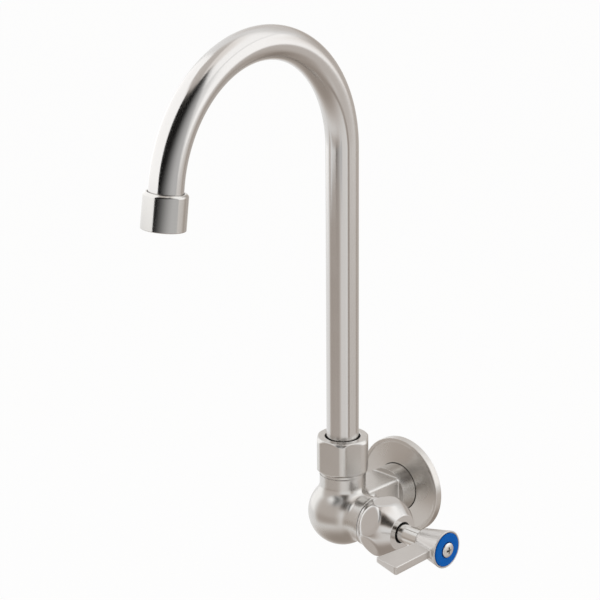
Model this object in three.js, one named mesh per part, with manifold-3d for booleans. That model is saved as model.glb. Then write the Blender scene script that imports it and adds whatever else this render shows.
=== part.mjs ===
// A single-inlet wall tap for a commercial kitchen: a brushed stainless body that screws into the wall,
// a swivelling gooseneck spout held by a union nut, and a quarter-turn ceramic valve with a lever handle.
//
// Millimetres, +Z up. The origin is the centre of the wall flange's back face. +Y points into the wall,
// so the tap stands out towards -Y, and the valve with its lever is on the +X side.
// Pieces are modelled round the middle of the ball-shaped body, and the whole tap is then moved out from
// the wall by the length of the arm.
import * as THREE from 'three';
import { mergeVertices } from 'three/addons/utils/BufferGeometryUtils.js';
import Module from 'manifold-3d';

const wasm = await Module();
wasm.setup();

// ---------------------------------------------------------------- driving dimensions

const GAP = 0.3; // clearance between neighbouring pieces
const FLANGE_FACETS = 48;
const TURNED_FACETS = 36; // facets round a large turned piece
const SMALL_FACETS = 20; // facets round a small turned piece
const HOLE_FACETS = 12; // facets round a screw hole
const ARC_STEPS = 3; // straight pieces in a small rounded edge
const RING_CORNERS = 6; // corners round the section of a rubber ring
const OVERSHOOT = 1; // how far a cutting shape runs past what it cuts
const WELD = 1e-4; // vertices closer than this are one

// wall side
const WALL_TO_RISER = 54.4;
const FLANGE_RADIUS = 30;
const FLANGE_THICKNESS = 4.7;
const FLANGE_EDGE = 0.4;
const FLANGE_BAND_WIDTH = 2.2;
const FLANGE_BAND_GROOVE = 0.2;
const FLANGE_CONE_RISE = 1.3;
const GASKET_RADIUS = 24.5;
const GASKET_THICKNESS = 1.8;
const INLET_THREAD_RADIUS = 10.48; // G 1/2 male thread, 20.955 mm over its crests
const INLET_THREAD_LENGTH = 16;
const INLET_BORE_RADIUS = 6;
const COLLAR_RADIUS = 14.6;
const COLLAR_LENGTH = 13.5;
const COLLAR_SETBACK = 2.2;
const COLLAR_CHAMFER = 0.5;
const COLLAR_FLARE = 4.5; // the arm widens into the collar over this length
const FLANGE_RING_SECTION = 1.5;

// body
const BALL_RADIUS = 20.5;
const ARM_WIDTH = 21;
const ARM_CORNER = 1.4;
const ARM_CORNER_STEPS = 2;
const NECK_RADIUS = 13.6;
const NECK_THREAD_RADIUS = 12.4;
const NECK_HEIGHT = 37;
const NECK_BORE_RADIUS = 9.7;
const NECK_GROOVE_WIDTH = 0.6;
const NECK_GROOVE_DEPTH = 0.6;
const NECK_GROOVE_DROP = 1.75;
const BOSS_RADIUS = 13.8;
const BOSS_REACH = 24;
const BOSS_LIP_RADIUS = 14.9;
const BOSS_LIP_WIDTH = 1.6;
const CHAMBER_RADIUS = 10.5;
const SEAT_X = 5;
const PORT_RADIUS = 4.2;
const PORT_OFFSET = 4.5;
const OUTLET_PASSAGE_RADIUS = 4.5;
const OUTLET_PASSAGE_X = 5.5;
const PASSAGE_OVERLAP = 2; // how far one water passage runs into the next

// union nut
const NUT_ACROSS_FLATS = 29.6;
const NUT_CORNER_RADIUS = 16;
const NUT_HEIGHT = 21.1;
const NUT_LIP = 4.1;
const NUT_LIP_RADIUS = 10.4;
const NUT_TOP_FACE_RADIUS = 14.6;
const NUT_TOP_CHAMFER = 1.8;
const NUT_FOOT_CHAMFER = 1.4;
const NUT_CORNER_AZIMUTH = 39.5; // degrees from -Y towards +X
const WIPER_SECTION = 1.3;
const WIPER_DEPTH = 1.2;

// spout
const SPOUT_TURN = 4.1; // degrees that the spout stands towards the handle side
const TUBE_RADIUS = 9.525; // 3/4 inch tube
const TUBE_WALL = 1.2;
const ARCH_RADIUS = 72;
const ARCH_HEIGHT = 221.5;
const ARCH_SWEEP = 171.6; // degrees
const TUBE_SIDES = 24;
const TUBE_BORE_SIDES = 12;
const ARCH_STEPS = 28;
const THRUST_WASHER_THICKNESS = 1.5;
const TAIL_SHOULDER_HEIGHT = 4;
const TAIL_SOCKET_DEPTH = 3.3;
const TAIL_BORE_RADIUS = 6.4;
const TAIL_LENGTH = 15;
const TAIL_RING_SECTION = 1.5;
const TAIL_RING_SPACING = 5.5;
const TAIL_RING_INSET = 3;

// nozzle
const NOZZLE_RADIUS = 12.2;
const NOZZLE_LENGTH = 19.7;
const NOZZLE_DROP = 3.8;
const NOZZLE_TOP_CHAMFER = 1.2;
const NOZZLE_FOOT_CHAMFER = 0.5;
const NOZZLE_SOCKET_DEPTH = 6.3;
const NOZZLE_WEB = 1.2;
const AERATOR_BORE_RADIUS = 10.9;
const AERATOR_WASHER_THICKNESS = 1.5;
const AERATOR_WALL = 1.4;
const AERATOR_RECESS = 0.8;
const AERATOR_PLATE = 1.2;
const AERATOR_LEDGE = 0.8;
const SCREEN_THICKNESS = 0.6;
const STRAIGHTENER_THICKNESS = 2.4;
const STRAIGHTENER_CELL = 1.05;
const STRAIGHTENER_PITCH = 2.6;
const STRAIGHTENER_RINGS = 3;
const SCREEN_CELL = 0.9;
const SCREEN_PITCH = 2.9;
const SCREEN_RINGS = 2;
const PLATE_HOLES = 10;
const PLATE_HOLE_RADIUS = 0.9;
const PLATE_HOLE_RING = 5.5;
const PLATE_HOLE_FACETS = 8;
const SCREEN_CELL_SIDES = 4;
const STRAIGHTENER_CELL_SIDES = 6;
const DISC_CURVE_STEPS = 12; // straight pieces in each curve of a pierced disc

// bonnet
const BONNET_GASKET_THICKNESS = 0.8;
const BONNET_LENGTH = 22;
const BONNET_SEAT_RADIUS = 15.3;
const BONNET_RIM = 1.2;
const BONNET_BARREL_RADIUS = 18.3;
const BONNET_BARREL_PEAK = 8.4;
const BONNET_ACROSS_FLATS = 32;
const BONNET_CORNER_AZIMUTH = 30; // degrees
const BONNET_RISE_STEPS = 4;
const BONNET_FALL_STEPS = 6;
const GLAND_RADIUS = 10.9;
const GLAND_EDGE = 0.4;
const GLAND_RING_SECTION = 1;
const GLAND_RING_DEPTH = 1.7;
const SHANK_THREAD_LENGTH = 6.4;
const SHANK_RADIUS = 9.2;
const SHANK_BORE_RADIUS = 8;
const SHANK_SETBACK = 0.8;

// valve
const SEAT_SEAL_THICKNESS = 2.6;
const SEAT_SEAL_WIDTH = 1.2;
const DISC_THICKNESS = 3;
const DISC_PORT_OUTER = 6.3;
const DISC_PORT_INNER = 2.4;
const DISC_PORT_ANGLE = 76; // degrees
const DRIVE_BAR_WIDTH = 5;
const DRIVE_BAR_THICKNESS = 3.2;
const DRIVE_TANG_DEPTH = 1.2;
const DRIVE_TANG_SETBACK = 1;
const QUARTER_TURN = 90; // degrees
const STOP_MARGIN = 2; // degrees left between the drive bar and its stops
const SPINDLE_WASHER_THICKNESS = 1;
const SPINDLE_RADIUS = 5.4;
const SPINDLE_REACH = 62;
const SPINDLE_RING_SECTION = 1.3;
const SPINDLE_RING_INSET = 4.2;
const SPINDLE_RING_SPACING = 5;
const SPLINE_LENGTH = 12;
const SPLINE_RADIUS = 4;
const SPLINE_TOOTH = 0.45;
const SPLINE_TEETH = 12;

// handle
const HUB_LENGTH = 18.9;
const HUB_BACK_RADIUS = 7.6;
const HUB_FACE_RADIUS = 11.2;
const HUB_BACK_ROUND = 2;
const HUB_EDGE = 0.3;
const LEVER_REACH = 41.6;
const LEVER_TIP_WIDTH = 17.4;
const LEVER_ROOT_WIDTH = 10.6;
const LEVER_FRONT_SETBACK = 1.6;
const LEVER_FLARE = 1.9;
const LEVER_TIP_SKEW = 2.3;
const LEVER_THICKNESS = 5;
const LEVER_THIN_EDGE = 2.6;
const LEVER_CORNER = 1.5;
const LEVER_CORNER_STEPS = 4;
const DISC_RECESS = 1.4;
const INDEX_DISC_RADIUS = 9.9;
const INDEX_DISC_THICKNESS = 1.7;
const SCREW_HEAD_RADIUS = 4.45;
const SCREW_HEAD_HEIGHT = 3.1;
const SCREW_CROWN = 1;
const SCREW_RADIUS = 1.9;
const SCREW_LENGTH = 12;
const CROSS_WIDTH = 1;
const CROSS_LENGTH = 4.6;
const CROSS_DEPTH = 1.3;

// ---------------------------------------------------------------- places worked out from them

const ringGroove = (section) => section + 2 * GAP;

const neckTop = NECK_HEIGHT;
const washerBottom = neckTop + GAP;
const washerTop = washerBottom + THRUST_WASHER_THICKNESS;
const shoulderBottom = washerTop + GAP;
const shoulderTop = shoulderBottom + TAIL_SHOULDER_HEIGHT;
const nutLipBottom = shoulderTop + GAP;
const nutTop = nutLipBottom + NUT_LIP;
const nutBottom = nutTop - NUT_HEIGHT;
const nutBoreRadius = NECK_THREAD_RADIUS + GAP;
const tubeFoot = shoulderTop - TAIL_SOCKET_DEPTH + GAP;
const tailRadius = NECK_BORE_RADIUS - GAP;
const tailBottom = shoulderBottom - TAIL_LENGTH;
const neckBoreFloor = tailBottom - PASSAGE_OVERLAP;

const sealBack = SEAT_X + GAP;
const fixedDiscBack = sealBack + SEAT_SEAL_THICKNESS + GAP;
const movingDiscBack = fixedDiscBack + DISC_THICKNESS + GAP;
const driveBarBack = movingDiscBack + DISC_THICKNESS + GAP;
const driveBarFront = driveBarBack + DRIVE_BAR_THICKNESS;
const spindleWasherBack = driveBarFront + GAP;
const spindleWasherFront = spindleWasherBack + SPINDLE_WASHER_THICKNESS;
const shankShoulder = spindleWasherFront + GAP;
const spindleBoreRadius = SPINDLE_RADIUS + GAP;
const discRadius = SHANK_BORE_RADIUS - GAP;
const bonnetGasketBack = BOSS_REACH + GAP;
const bonnetSeat = bonnetGasketBack + BONNET_GASKET_THICKNESS + GAP;
const bonnetEnd = bonnetSeat + BONNET_LENGTH;
const glandRecessRadius = spindleBoreRadius + GLAND_RING_SECTION;
const hubBack = SPINDLE_REACH + GAP;
const hubFace = hubBack + HUB_LENGTH;
const hubFloor = hubFace - DISC_RECESS;
const splineEnd = SPINDLE_REACH + SPLINE_LENGTH;
const screwSeat = hubFloor + GAP;
const screwEnd = screwSeat - SCREW_LENGTH;

const archEndTurn = THREE.MathUtils.degToRad(ARCH_SWEEP);
const tubeEnd = NOZZLE_DROP + NOZZLE_SOCKET_DEPTH - GAP;
const nozzleEnd = NOZZLE_DROP + NOZZLE_LENGTH;
const webTop = NOZZLE_DROP + NOZZLE_SOCKET_DEPTH;
const webBottom = webTop + NOZZLE_WEB;
const aeratorRadius = AERATOR_BORE_RADIUS - GAP;
const aeratorWasherEnd = webBottom + GAP + AERATOR_WASHER_THICKNESS;
const aeratorTop = aeratorWasherEnd + GAP;
const aeratorBottom = nozzleEnd - AERATOR_RECESS;
const aeratorInnerRadius = aeratorRadius - AERATOR_WALL;
const insertRadius = aeratorInnerRadius - GAP;

// ---------------------------------------------------------------- making and joining solids

const degrees = THREE.MathUtils.degToRad;

// Merged vertices and no collapsed triangles, so that the surface is closed.
function welded(geometry) {
  const bare = geometry.index ? geometry.clone() : geometry;
  bare.deleteAttribute('normal');
  bare.deleteAttribute('uv');
  const merged = mergeVertices(bare, WELD);
  const corners = merged.index.array;
  const kept = [];
  for (let i = 0; i < corners.length; i += 3) {
    const [a, b, c] = corners.slice(i, i + 3);
    if (a !== b && b !== c && c !== a) kept.push(a, b, c);
  }
  merged.setIndex(kept);
  return merged;
}

function toSolid(geometry) {
  const closed = welded(geometry);
  const mesh = new wasm.Mesh({
    numProp: 3,
    vertProperties: new Float32Array(closed.attributes.position.array),
    triVerts: new Uint32Array(closed.index.array),
  });
  return new wasm.Manifold(mesh);
}

function toGeometry(solid) {
  const mesh = solid.getMesh();
  const geometry = new THREE.BufferGeometry();
  geometry.setAttribute('position', new THREE.BufferAttribute(new Float32Array(mesh.vertProperties), 3));
  geometry.setIndex(new THREE.BufferAttribute(new Uint32Array(mesh.triVerts), 1));
  geometry.computeVertexNormals();
  return geometry;
}

function combine(base, added, removed) {
  let solid = toSolid(base);
  for (const piece of added) solid = solid.add(toSolid(piece));
  for (const piece of removed) solid = solid.subtract(toSolid(piece));
  return toGeometry(solid);
}

const alongX = (geometry) => geometry.rotateY(Math.PI / 2);
const alongY = (geometry) => geometry.rotateX(-Math.PI / 2);

// A turned piece about Z. The outline is [radius, height] pairs, anticlockwise with the axis on the left.
// One that starts on the axis ends on it, and any other closes on itself.
function turned(outline, facets = TURNED_FACETS) {
  const points = outline.map(([radius, height]) => new THREE.Vector2(radius, height));
  if (points[0].x > 0) points.push(points[0].clone());
  return new THREE.LatheGeometry(points, facets).rotateX(Math.PI / 2);
}

const rod = (radius, from, to, facets = TURNED_FACETS) =>
  turned([[0, from], [radius, from], [radius, to], [0, to]], facets);

const washer = (inner, outer, from, to, facets = TURNED_FACETS) =>
  turned([[inner, from], [outer, from], [outer, to], [inner, to]], facets);

// Points on part of a circle or an ellipse, from one angle to another, as [radius, height] pairs.
function arc([radius, height], [across, along], from, to, steps = ARC_STEPS) {
  const points = [];
  for (let i = 0; i <= steps; i++) {
    const turn = degrees(from + ((to - from) * i) / steps);
    points.push([radius + across * Math.cos(turn), height + along * Math.sin(turn)]);
  }
  return points;
}

// A round-section rubber ring, between an inner and an outer radius.
function roundRing(inner, outer, middle, facets = SMALL_FACETS) {
  const section = (outer - inner) / 2;
  const centre = [(inner + outer) / 2, middle];
  const lastCorner = 360 - 360 / RING_CORNERS;
  return turned(arc(centre, [section, section], 0, lastCorner, RING_CORNERS - 1), facets);
}

function prism(shape, from, to, curveSegments = ARC_STEPS) {
  const options = { depth: to - from, bevelEnabled: false, curveSegments };
  return new THREE.ExtrudeGeometry(shape, options).translate(0, 0, from);
}

function hexagon(apothem, firstCorner) {
  const shape = new THREE.Shape();
  const corner = apothem / Math.cos(Math.PI / 6);
  for (let i = 0; i < 6; i++) {
    const turn = degrees(firstCorner + 60 * i);
    const point = [corner * Math.cos(turn), corner * Math.sin(turn)];
    if (i === 0) shape.moveTo(...point);
    else shape.lineTo(...point);
  }
  return shape;
}

function roundedSquare(width, corner) {
  const middle = width / 2 - corner;
  const shape = new THREE.Shape();
  for (const turn of [0, 90, 180, 270]) {
    const x = middle * (turn === 0 || turn === 270 ? 1 : -1);
    const y = middle * (turn < 180 ? 1 : -1);
    shape.absarc(x, y, corner, degrees(turn), degrees(turn + 90));
  }
  return shape;
}

// A ring-shaped sector, as an outline from one angle to another.
function sector(path, inner, outer, from, to) {
  path.absarc(0, 0, outer, degrees(from), degrees(to), false);
  if (inner > 0) path.absarc(0, 0, inner, degrees(to), degrees(from), true);
  else path.lineTo(0, 0);
  path.closePath();
  return path;
}

// Centres of a honeycomb with a middle cell and a number of rings round it.
function honeycomb(pitch, rings) {
  const centres = [];
  for (let q = -rings; q <= rings; q++) {
    for (let r = -rings; r <= rings; r++) {
      if (Math.abs(q + r) > rings) continue;
      centres.push([pitch * (q + r / 2), pitch * r * Math.sin(Math.PI / 3)]);
    }
  }
  return centres;
}

function perforated(radius, cell, centres, sides) {
  const shape = new THREE.Shape().absarc(0, 0, radius, 0, 2 * Math.PI);
  for (const [x, y] of centres) {
    const hole = new THREE.Path();
    for (let i = 0; i < sides; i++) {
      const turn = Math.PI / 6 + (i / sides) * 2 * Math.PI;
      const point = [x + cell * Math.cos(turn), y + cell * Math.sin(turn)];
      if (i === 0) hole.moveTo(...point);
      else hole.lineTo(...point);
    }
    hole.closePath();
    shape.holes.push(hole);
  }
  return shape;
}

// ---------------------------------------------------------------- wall side

function wallFlange() {
  const bore = COLLAR_RADIUS + GAP;
  const recess = GASKET_THICKNESS + GAP;
  const band = FLANGE_RADIUS - FLANGE_BAND_WIDTH;
  return turned([
    [bore, recess],
    [GASKET_RADIUS + GAP, recess],
    [GASKET_RADIUS + GAP, 0],
    [FLANGE_RADIUS - FLANGE_EDGE, 0],
    [FLANGE_RADIUS, FLANGE_EDGE],
    [FLANGE_RADIUS, FLANGE_THICKNESS - FLANGE_EDGE],
    [FLANGE_RADIUS - FLANGE_EDGE, FLANGE_THICKNESS],
    [band, FLANGE_THICKNESS],
    [band, FLANGE_THICKNESS - FLANGE_BAND_GROOVE],
    [bore, FLANGE_THICKNESS + FLANGE_CONE_RISE],
  ], FLANGE_FACETS).rotateX(Math.PI / 2);
}

function wallGasket() {
  return washer(INLET_THREAD_RADIUS + GAP, GASKET_RADIUS, 0, GASKET_THICKNESS).rotateX(Math.PI / 2);
}

const flangeRingMiddle = COLLAR_SETBACK + GAP + ringGroove(FLANGE_RING_SECTION) / 2;

function flangeRing() {
  return roundRing(COLLAR_RADIUS - FLANGE_RING_SECTION, COLLAR_RADIUS, flangeRingMiddle, TURNED_FACETS)
    .rotateX(Math.PI / 2);
}

// ---------------------------------------------------------------- body

function bodyOutside() {
  const armEnd = WALL_TO_RISER - COLLAR_SETBACK - COLLAR_LENGTH + COLLAR_CHAMFER;
  const collarEnd = WALL_TO_RISER - COLLAR_SETBACK;
  const collarStart = collarEnd - COLLAR_LENGTH;
  const ringGrooveStart = WALL_TO_RISER - flangeRingMiddle - ringGroove(FLANGE_RING_SECTION) / 2;
  const ringGrooveEnd = ringGrooveStart + ringGroove(FLANGE_RING_SECTION);
  const ringGrooveRadius = COLLAR_RADIUS - FLANGE_RING_SECTION - GAP;
  const threadEnd = WALL_TO_RISER + INLET_THREAD_LENGTH;
  const grooveTop = nutBottom - NECK_GROOVE_DROP;

  const flareStart = collarStart - COLLAR_FLARE;
  const flareWidth = COLLAR_RADIUS - ARM_WIDTH / 2 + GAP;

  const ball = new THREE.SphereGeometry(BALL_RADIUS, TURNED_FACETS, TURNED_FACETS / 2).rotateX(Math.PI / 2);
  const neck = turned([
    [0, 0],
    [NECK_RADIUS, 0],
    [NECK_RADIUS, grooveTop - NECK_GROOVE_WIDTH],
    [NECK_RADIUS - NECK_GROOVE_DEPTH, grooveTop - NECK_GROOVE_WIDTH],
    [NECK_RADIUS - NECK_GROOVE_DEPTH, grooveTop],
    [NECK_RADIUS, grooveTop],
    [NECK_RADIUS, nutBottom - GAP],
    [NECK_THREAD_RADIUS, nutBottom - GAP],
    [NECK_THREAD_RADIUS, neckTop],
    [0, neckTop],
  ]);
  const arm = alongY(prism(roundedSquare(ARM_WIDTH, ARM_CORNER), 0, armEnd, ARM_CORNER_STEPS));
  const collar = turned([
    [0, flareStart],
    ...arc([COLLAR_RADIUS, flareStart], [-flareWidth, COLLAR_FLARE], 0, 90),
    [COLLAR_RADIUS, collarStart + COLLAR_CHAMFER],
    [COLLAR_RADIUS, ringGrooveStart],
    [ringGrooveRadius, ringGrooveStart],
    [ringGrooveRadius, ringGrooveEnd],
    [COLLAR_RADIUS, ringGrooveEnd],
    [COLLAR_RADIUS, collarEnd],
    [INLET_THREAD_RADIUS, collarEnd],
    [INLET_THREAD_RADIUS, threadEnd - COLLAR_CHAMFER],
    [INLET_THREAD_RADIUS - COLLAR_CHAMFER, threadEnd],
    [0, threadEnd],
  ]).rotateX(-Math.PI / 2);
  const boss = alongX(turned([
    [0, 0],
    [BOSS_RADIUS, 0],
    [BOSS_RADIUS, BOSS_REACH - BOSS_LIP_WIDTH],
    [BOSS_LIP_RADIUS, BOSS_REACH - BOSS_LIP_WIDTH],
    [BOSS_LIP_RADIUS, BOSS_REACH],
    [0, BOSS_REACH],
  ]));
  return [ball, neck, arm, collar, boss];
}

// Water comes in from the wall, steps aside to the seat's port, crosses the valve's discs into the
// chamber round them, and climbs through the outlet passage into the neck.
function bodyPassages() {
  const inletEnd = CHAMBER_RADIUS + PORT_RADIUS;
  const threadEnd = WALL_TO_RISER + INLET_THREAD_LENGTH;
  const inlet = alongY(rod(INLET_BORE_RADIUS, inletEnd, threadEnd + PASSAGE_OVERLAP, SMALL_FACETS));
  const link = alongY(rod(PORT_RADIUS, -PORT_RADIUS, inletEnd + PASSAGE_OVERLAP, SMALL_FACETS))
    .translate(-PORT_OFFSET, 0, 0);
  const port = alongX(rod(PORT_RADIUS, -PORT_OFFSET, SEAT_X + PASSAGE_OVERLAP, SMALL_FACETS));
  const chamber = alongX(rod(CHAMBER_RADIUS, SEAT_X, BOSS_REACH + PASSAGE_OVERLAP));
  const passageFloor = CHAMBER_RADIUS - PASSAGE_OVERLAP;
  const outlet = rod(OUTLET_PASSAGE_RADIUS, passageFloor, neckBoreFloor + PASSAGE_OVERLAP, SMALL_FACETS)
    .translate(OUTLET_PASSAGE_X, 0, 0);
  const neckBore = rod(NECK_BORE_RADIUS, neckBoreFloor, neckTop + PASSAGE_OVERLAP);
  return [inlet, link, port, chamber, outlet, neckBore];
}

function valveBody() {
  const [ball, ...rest] = bodyOutside();
  return combine(ball, rest, bodyPassages());
}

// ---------------------------------------------------------------- union nut

function swivelNut() {
  const apothem = NUT_ACROSS_FLATS / 2;
  const grooveRadius = NUT_LIP_RADIUS + WIPER_DEPTH;
  const grooveBottom = nutLipBottom + (NUT_LIP - ringGroove(WIPER_SECTION)) / 2;
  const grooveTop = grooveBottom + ringGroove(WIPER_SECTION);
  const blank = turned([
    [NUT_LIP_RADIUS, nutLipBottom],
    [nutBoreRadius, nutLipBottom],
    [nutBoreRadius, nutBottom],
    [NUT_CORNER_RADIUS - NUT_FOOT_CHAMFER, nutBottom],
    [NUT_CORNER_RADIUS, nutBottom + NUT_FOOT_CHAMFER],
    [NUT_CORNER_RADIUS, nutTop - NUT_TOP_CHAMFER],
    [NUT_TOP_FACE_RADIUS, nutTop],
    [NUT_LIP_RADIUS, nutTop],
    [NUT_LIP_RADIUS, grooveTop],
    [grooveRadius, grooveTop],
    [grooveRadius, grooveBottom],
    [NUT_LIP_RADIUS, grooveBottom],
  ]);
  const flats = prism(
    hexagon(apothem, NUT_CORNER_AZIMUTH - 90),
    nutBottom - OVERSHOOT,
    nutTop + OVERSHOOT,
  );
  return toGeometry(toSolid(blank).intersect(toSolid(flats)));
}

function nutWiper() {
  const inner = TUBE_RADIUS + GAP;
  const outer = NUT_LIP_RADIUS + WIPER_DEPTH - GAP;
  const bottom = nutLipBottom + (NUT_LIP - WIPER_SECTION) / 2;
  return washer(inner, outer, bottom, bottom + WIPER_SECTION);
}

function thrustWasher() {
  return washer(tailRadius + GAP, NECK_THREAD_RADIUS - GAP, washerBottom, washerTop);
}

// ---------------------------------------------------------------- spout

// The spout's centre line: up the riser, over the arch, and a little way down into the nozzle.
class Gooseneck extends THREE.Curve {
  getPoint(t, target = new THREE.Vector3()) {
    const step = t * (ARCH_STEPS + 2);
    if (step < 1) return target.set(0, 0, THREE.MathUtils.lerp(tubeFoot, ARCH_HEIGHT, step));
    const turn = archEndTurn * Math.min((step - 1) / ARCH_STEPS, 1);
    const past = Math.max(step - 1 - ARCH_STEPS, 0) * tubeEnd;
    return target.set(
      0,
      -ARCH_RADIUS * (1 - Math.cos(turn)) - past * Math.sin(turn),
      ARCH_HEIGHT + ARCH_RADIUS * Math.sin(turn) + past * Math.cos(turn),
    );
  }

  getPointAt(u, target) {
    return this.getPoint(u, target);
  }

  getTangentAt(u, target) {
    return this.getTangent(u, target);
  }
}

function spoutTube() {
  const section = new THREE.Shape();
  const bore = new THREE.Path();
  const trace = (path, radius, sides) => {
    for (let i = 0; i < sides; i++) {
      const turn = (i / sides) * 2 * Math.PI;
      const point = [radius * Math.cos(turn), radius * Math.sin(turn)];
      if (i === 0) path.moveTo(...point);
      else path.lineTo(...point);
    }
    path.closePath();
  };
  trace(section, TUBE_RADIUS, TUBE_SIDES);
  trace(bore, TUBE_RADIUS - TUBE_WALL, TUBE_BORE_SIDES);
  section.holes.push(bore);
  return new THREE.ExtrudeGeometry(section, {
    steps: ARCH_STEPS + 2,
    extrudePath: new Gooseneck(),
    bevelEnabled: false,
  });
}

const tailRingMiddles = [0, 1].map((i) => tailBottom + TAIL_RING_INSET + i * TAIL_RING_SPACING);

function spoutTail() {
  const groove = tailRadius - TAIL_RING_SECTION - GAP;
  const half = ringGroove(TAIL_RING_SECTION) / 2;
  const outside = [[TAIL_BORE_RADIUS, tailBottom], [tailRadius, tailBottom]];
  for (const middle of tailRingMiddles) {
    outside.push([tailRadius, middle - half], [groove, middle - half]);
    outside.push([groove, middle + half], [tailRadius, middle + half]);
  }
  const socket = TUBE_RADIUS + GAP;
  outside.push(
    [tailRadius, shoulderBottom],
    [NECK_THREAD_RADIUS, shoulderBottom],
    [NECK_THREAD_RADIUS, shoulderTop],
    [socket, shoulderTop],
    [socket, tubeFoot - GAP],
    [TAIL_BORE_RADIUS, tubeFoot - GAP],
  );
  return turned(outside);
}

const tailRing = (middle) => roundRing(tailRadius - TAIL_RING_SECTION, tailRadius, middle);

// The nozzle's pieces are turned about Z, with height counted down from the end of the arch.
function placeAtSpoutEnd(geometry) {
  return geometry
    .rotateX(archEndTurn)
    .translate(
      0,
      -ARCH_RADIUS * (1 - Math.cos(archEndTurn)),
      ARCH_HEIGHT + ARCH_RADIUS * Math.sin(archEndTurn),
    );
}

function nozzleCollar() {
  const socket = TUBE_RADIUS + GAP;
  const web = TUBE_RADIUS - TUBE_WALL;
  return placeAtSpoutEnd(turned([
    [socket, NOZZLE_DROP],
    [NOZZLE_RADIUS - NOZZLE_TOP_CHAMFER, NOZZLE_DROP],
    [NOZZLE_RADIUS, NOZZLE_DROP + NOZZLE_TOP_CHAMFER],
    [NOZZLE_RADIUS, nozzleEnd - NOZZLE_FOOT_CHAMFER],
    [NOZZLE_RADIUS - NOZZLE_FOOT_CHAMFER, nozzleEnd],
    [AERATOR_BORE_RADIUS, nozzleEnd],
    [AERATOR_BORE_RADIUS, webBottom],
    [web, webBottom],
    [web, webTop],
    [socket, webTop],
  ]));
}

function aeratorWasher() {
  return placeAtSpoutEnd(washer(TUBE_RADIUS - TUBE_WALL, aeratorRadius, webBottom + GAP, aeratorWasherEnd));
}

function aeratorBody() {
  const shell = turned([
    [0, aeratorTop],
    [aeratorRadius, aeratorTop],
    [aeratorRadius, aeratorBottom],
    [aeratorInnerRadius - AERATOR_LEDGE, aeratorBottom],
    [aeratorInnerRadius - AERATOR_LEDGE, aeratorBottom - AERATOR_LEDGE],
    [aeratorInnerRadius, aeratorBottom - AERATOR_LEDGE],
    [aeratorInnerRadius, aeratorTop + AERATOR_PLATE],
    [0, aeratorTop + AERATOR_PLATE],
  ]);
  const holes = [];
  for (let i = 0; i < PLATE_HOLES; i++) {
    const turn = (i / PLATE_HOLES) * 2 * Math.PI;
    const top = aeratorTop - OVERSHOOT;
    const bottom = aeratorTop + AERATOR_PLATE + OVERSHOOT;
    holes.push(rod(PLATE_HOLE_RADIUS, top, bottom, PLATE_HOLE_FACETS)
      .translate(PLATE_HOLE_RING * Math.cos(turn), PLATE_HOLE_RING * Math.sin(turn), 0));
  }
  return placeAtSpoutEnd(combine(shell, [], holes));
}

const screenTop = aeratorTop + AERATOR_PLATE + GAP;
const straightenerBottom = aeratorBottom - AERATOR_LEDGE - GAP;

function aeratorScreen() {
  const centres = honeycomb(SCREEN_PITCH, SCREEN_RINGS);
  const shape = perforated(insertRadius, SCREEN_CELL, centres, SCREEN_CELL_SIDES);
  return placeAtSpoutEnd(prism(shape, screenTop, screenTop + SCREEN_THICKNESS, DISC_CURVE_STEPS));
}

function flowStraightener() {
  const centres = honeycomb(STRAIGHTENER_PITCH, STRAIGHTENER_RINGS)
    .filter(([x, y]) => Math.hypot(x, y) + STRAIGHTENER_CELL < insertRadius - GAP);
  const shape = perforated(insertRadius, STRAIGHTENER_CELL, centres, STRAIGHTENER_CELL_SIDES);
  const top = straightenerBottom - STRAIGHTENER_THICKNESS;
  return placeAtSpoutEnd(prism(shape, top, straightenerBottom, DISC_CURVE_STEPS));
}

// ---------------------------------------------------------------- bonnet

// The barrel swells from the rim at its seat, and rounds off to the gland at its front.
function barrelOutline() {
  const peak = bonnetSeat + BONNET_BARREL_PEAK;
  const rimEnd = bonnetSeat + BONNET_RIM;
  const points = [[BONNET_SEAT_RADIUS, bonnetSeat]];
  for (let i = 0; i < BONNET_RISE_STEPS; i++) {
    const share = i / BONNET_RISE_STEPS;
    const swell = (BONNET_BARREL_RADIUS - BONNET_SEAT_RADIUS) * Math.sin(degrees(90 * share));
    points.push([BONNET_SEAT_RADIUS + swell, THREE.MathUtils.lerp(rimEnd, peak, share)]);
  }
  for (let i = 0; i <= BONNET_FALL_STEPS; i++) {
    const share = i / BONNET_FALL_STEPS;
    const swell = (BONNET_BARREL_RADIUS - GLAND_RADIUS) * Math.cos(degrees(90 * share));
    points.push([GLAND_RADIUS + swell, THREE.MathUtils.lerp(peak, bonnetEnd - GLAND_EDGE, share)]);
  }
  return points;
}

function bonnetWindows() {
  const half = THREE.MathUtils.radToDeg(Math.asin(DRIVE_BAR_WIDTH / 2 / SHANK_BORE_RADIUS)) + STOP_MARGIN;
  return [0, 180].map((start) => {
    const shape = sector(new THREE.Shape(), 0, CHAMBER_RADIUS, start - half, start + QUARTER_TURN + half);
    return alongX(prism(shape, driveBarBack - GAP, driveBarFront + GAP, DISC_CURVE_STEPS));
  });
}

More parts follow.
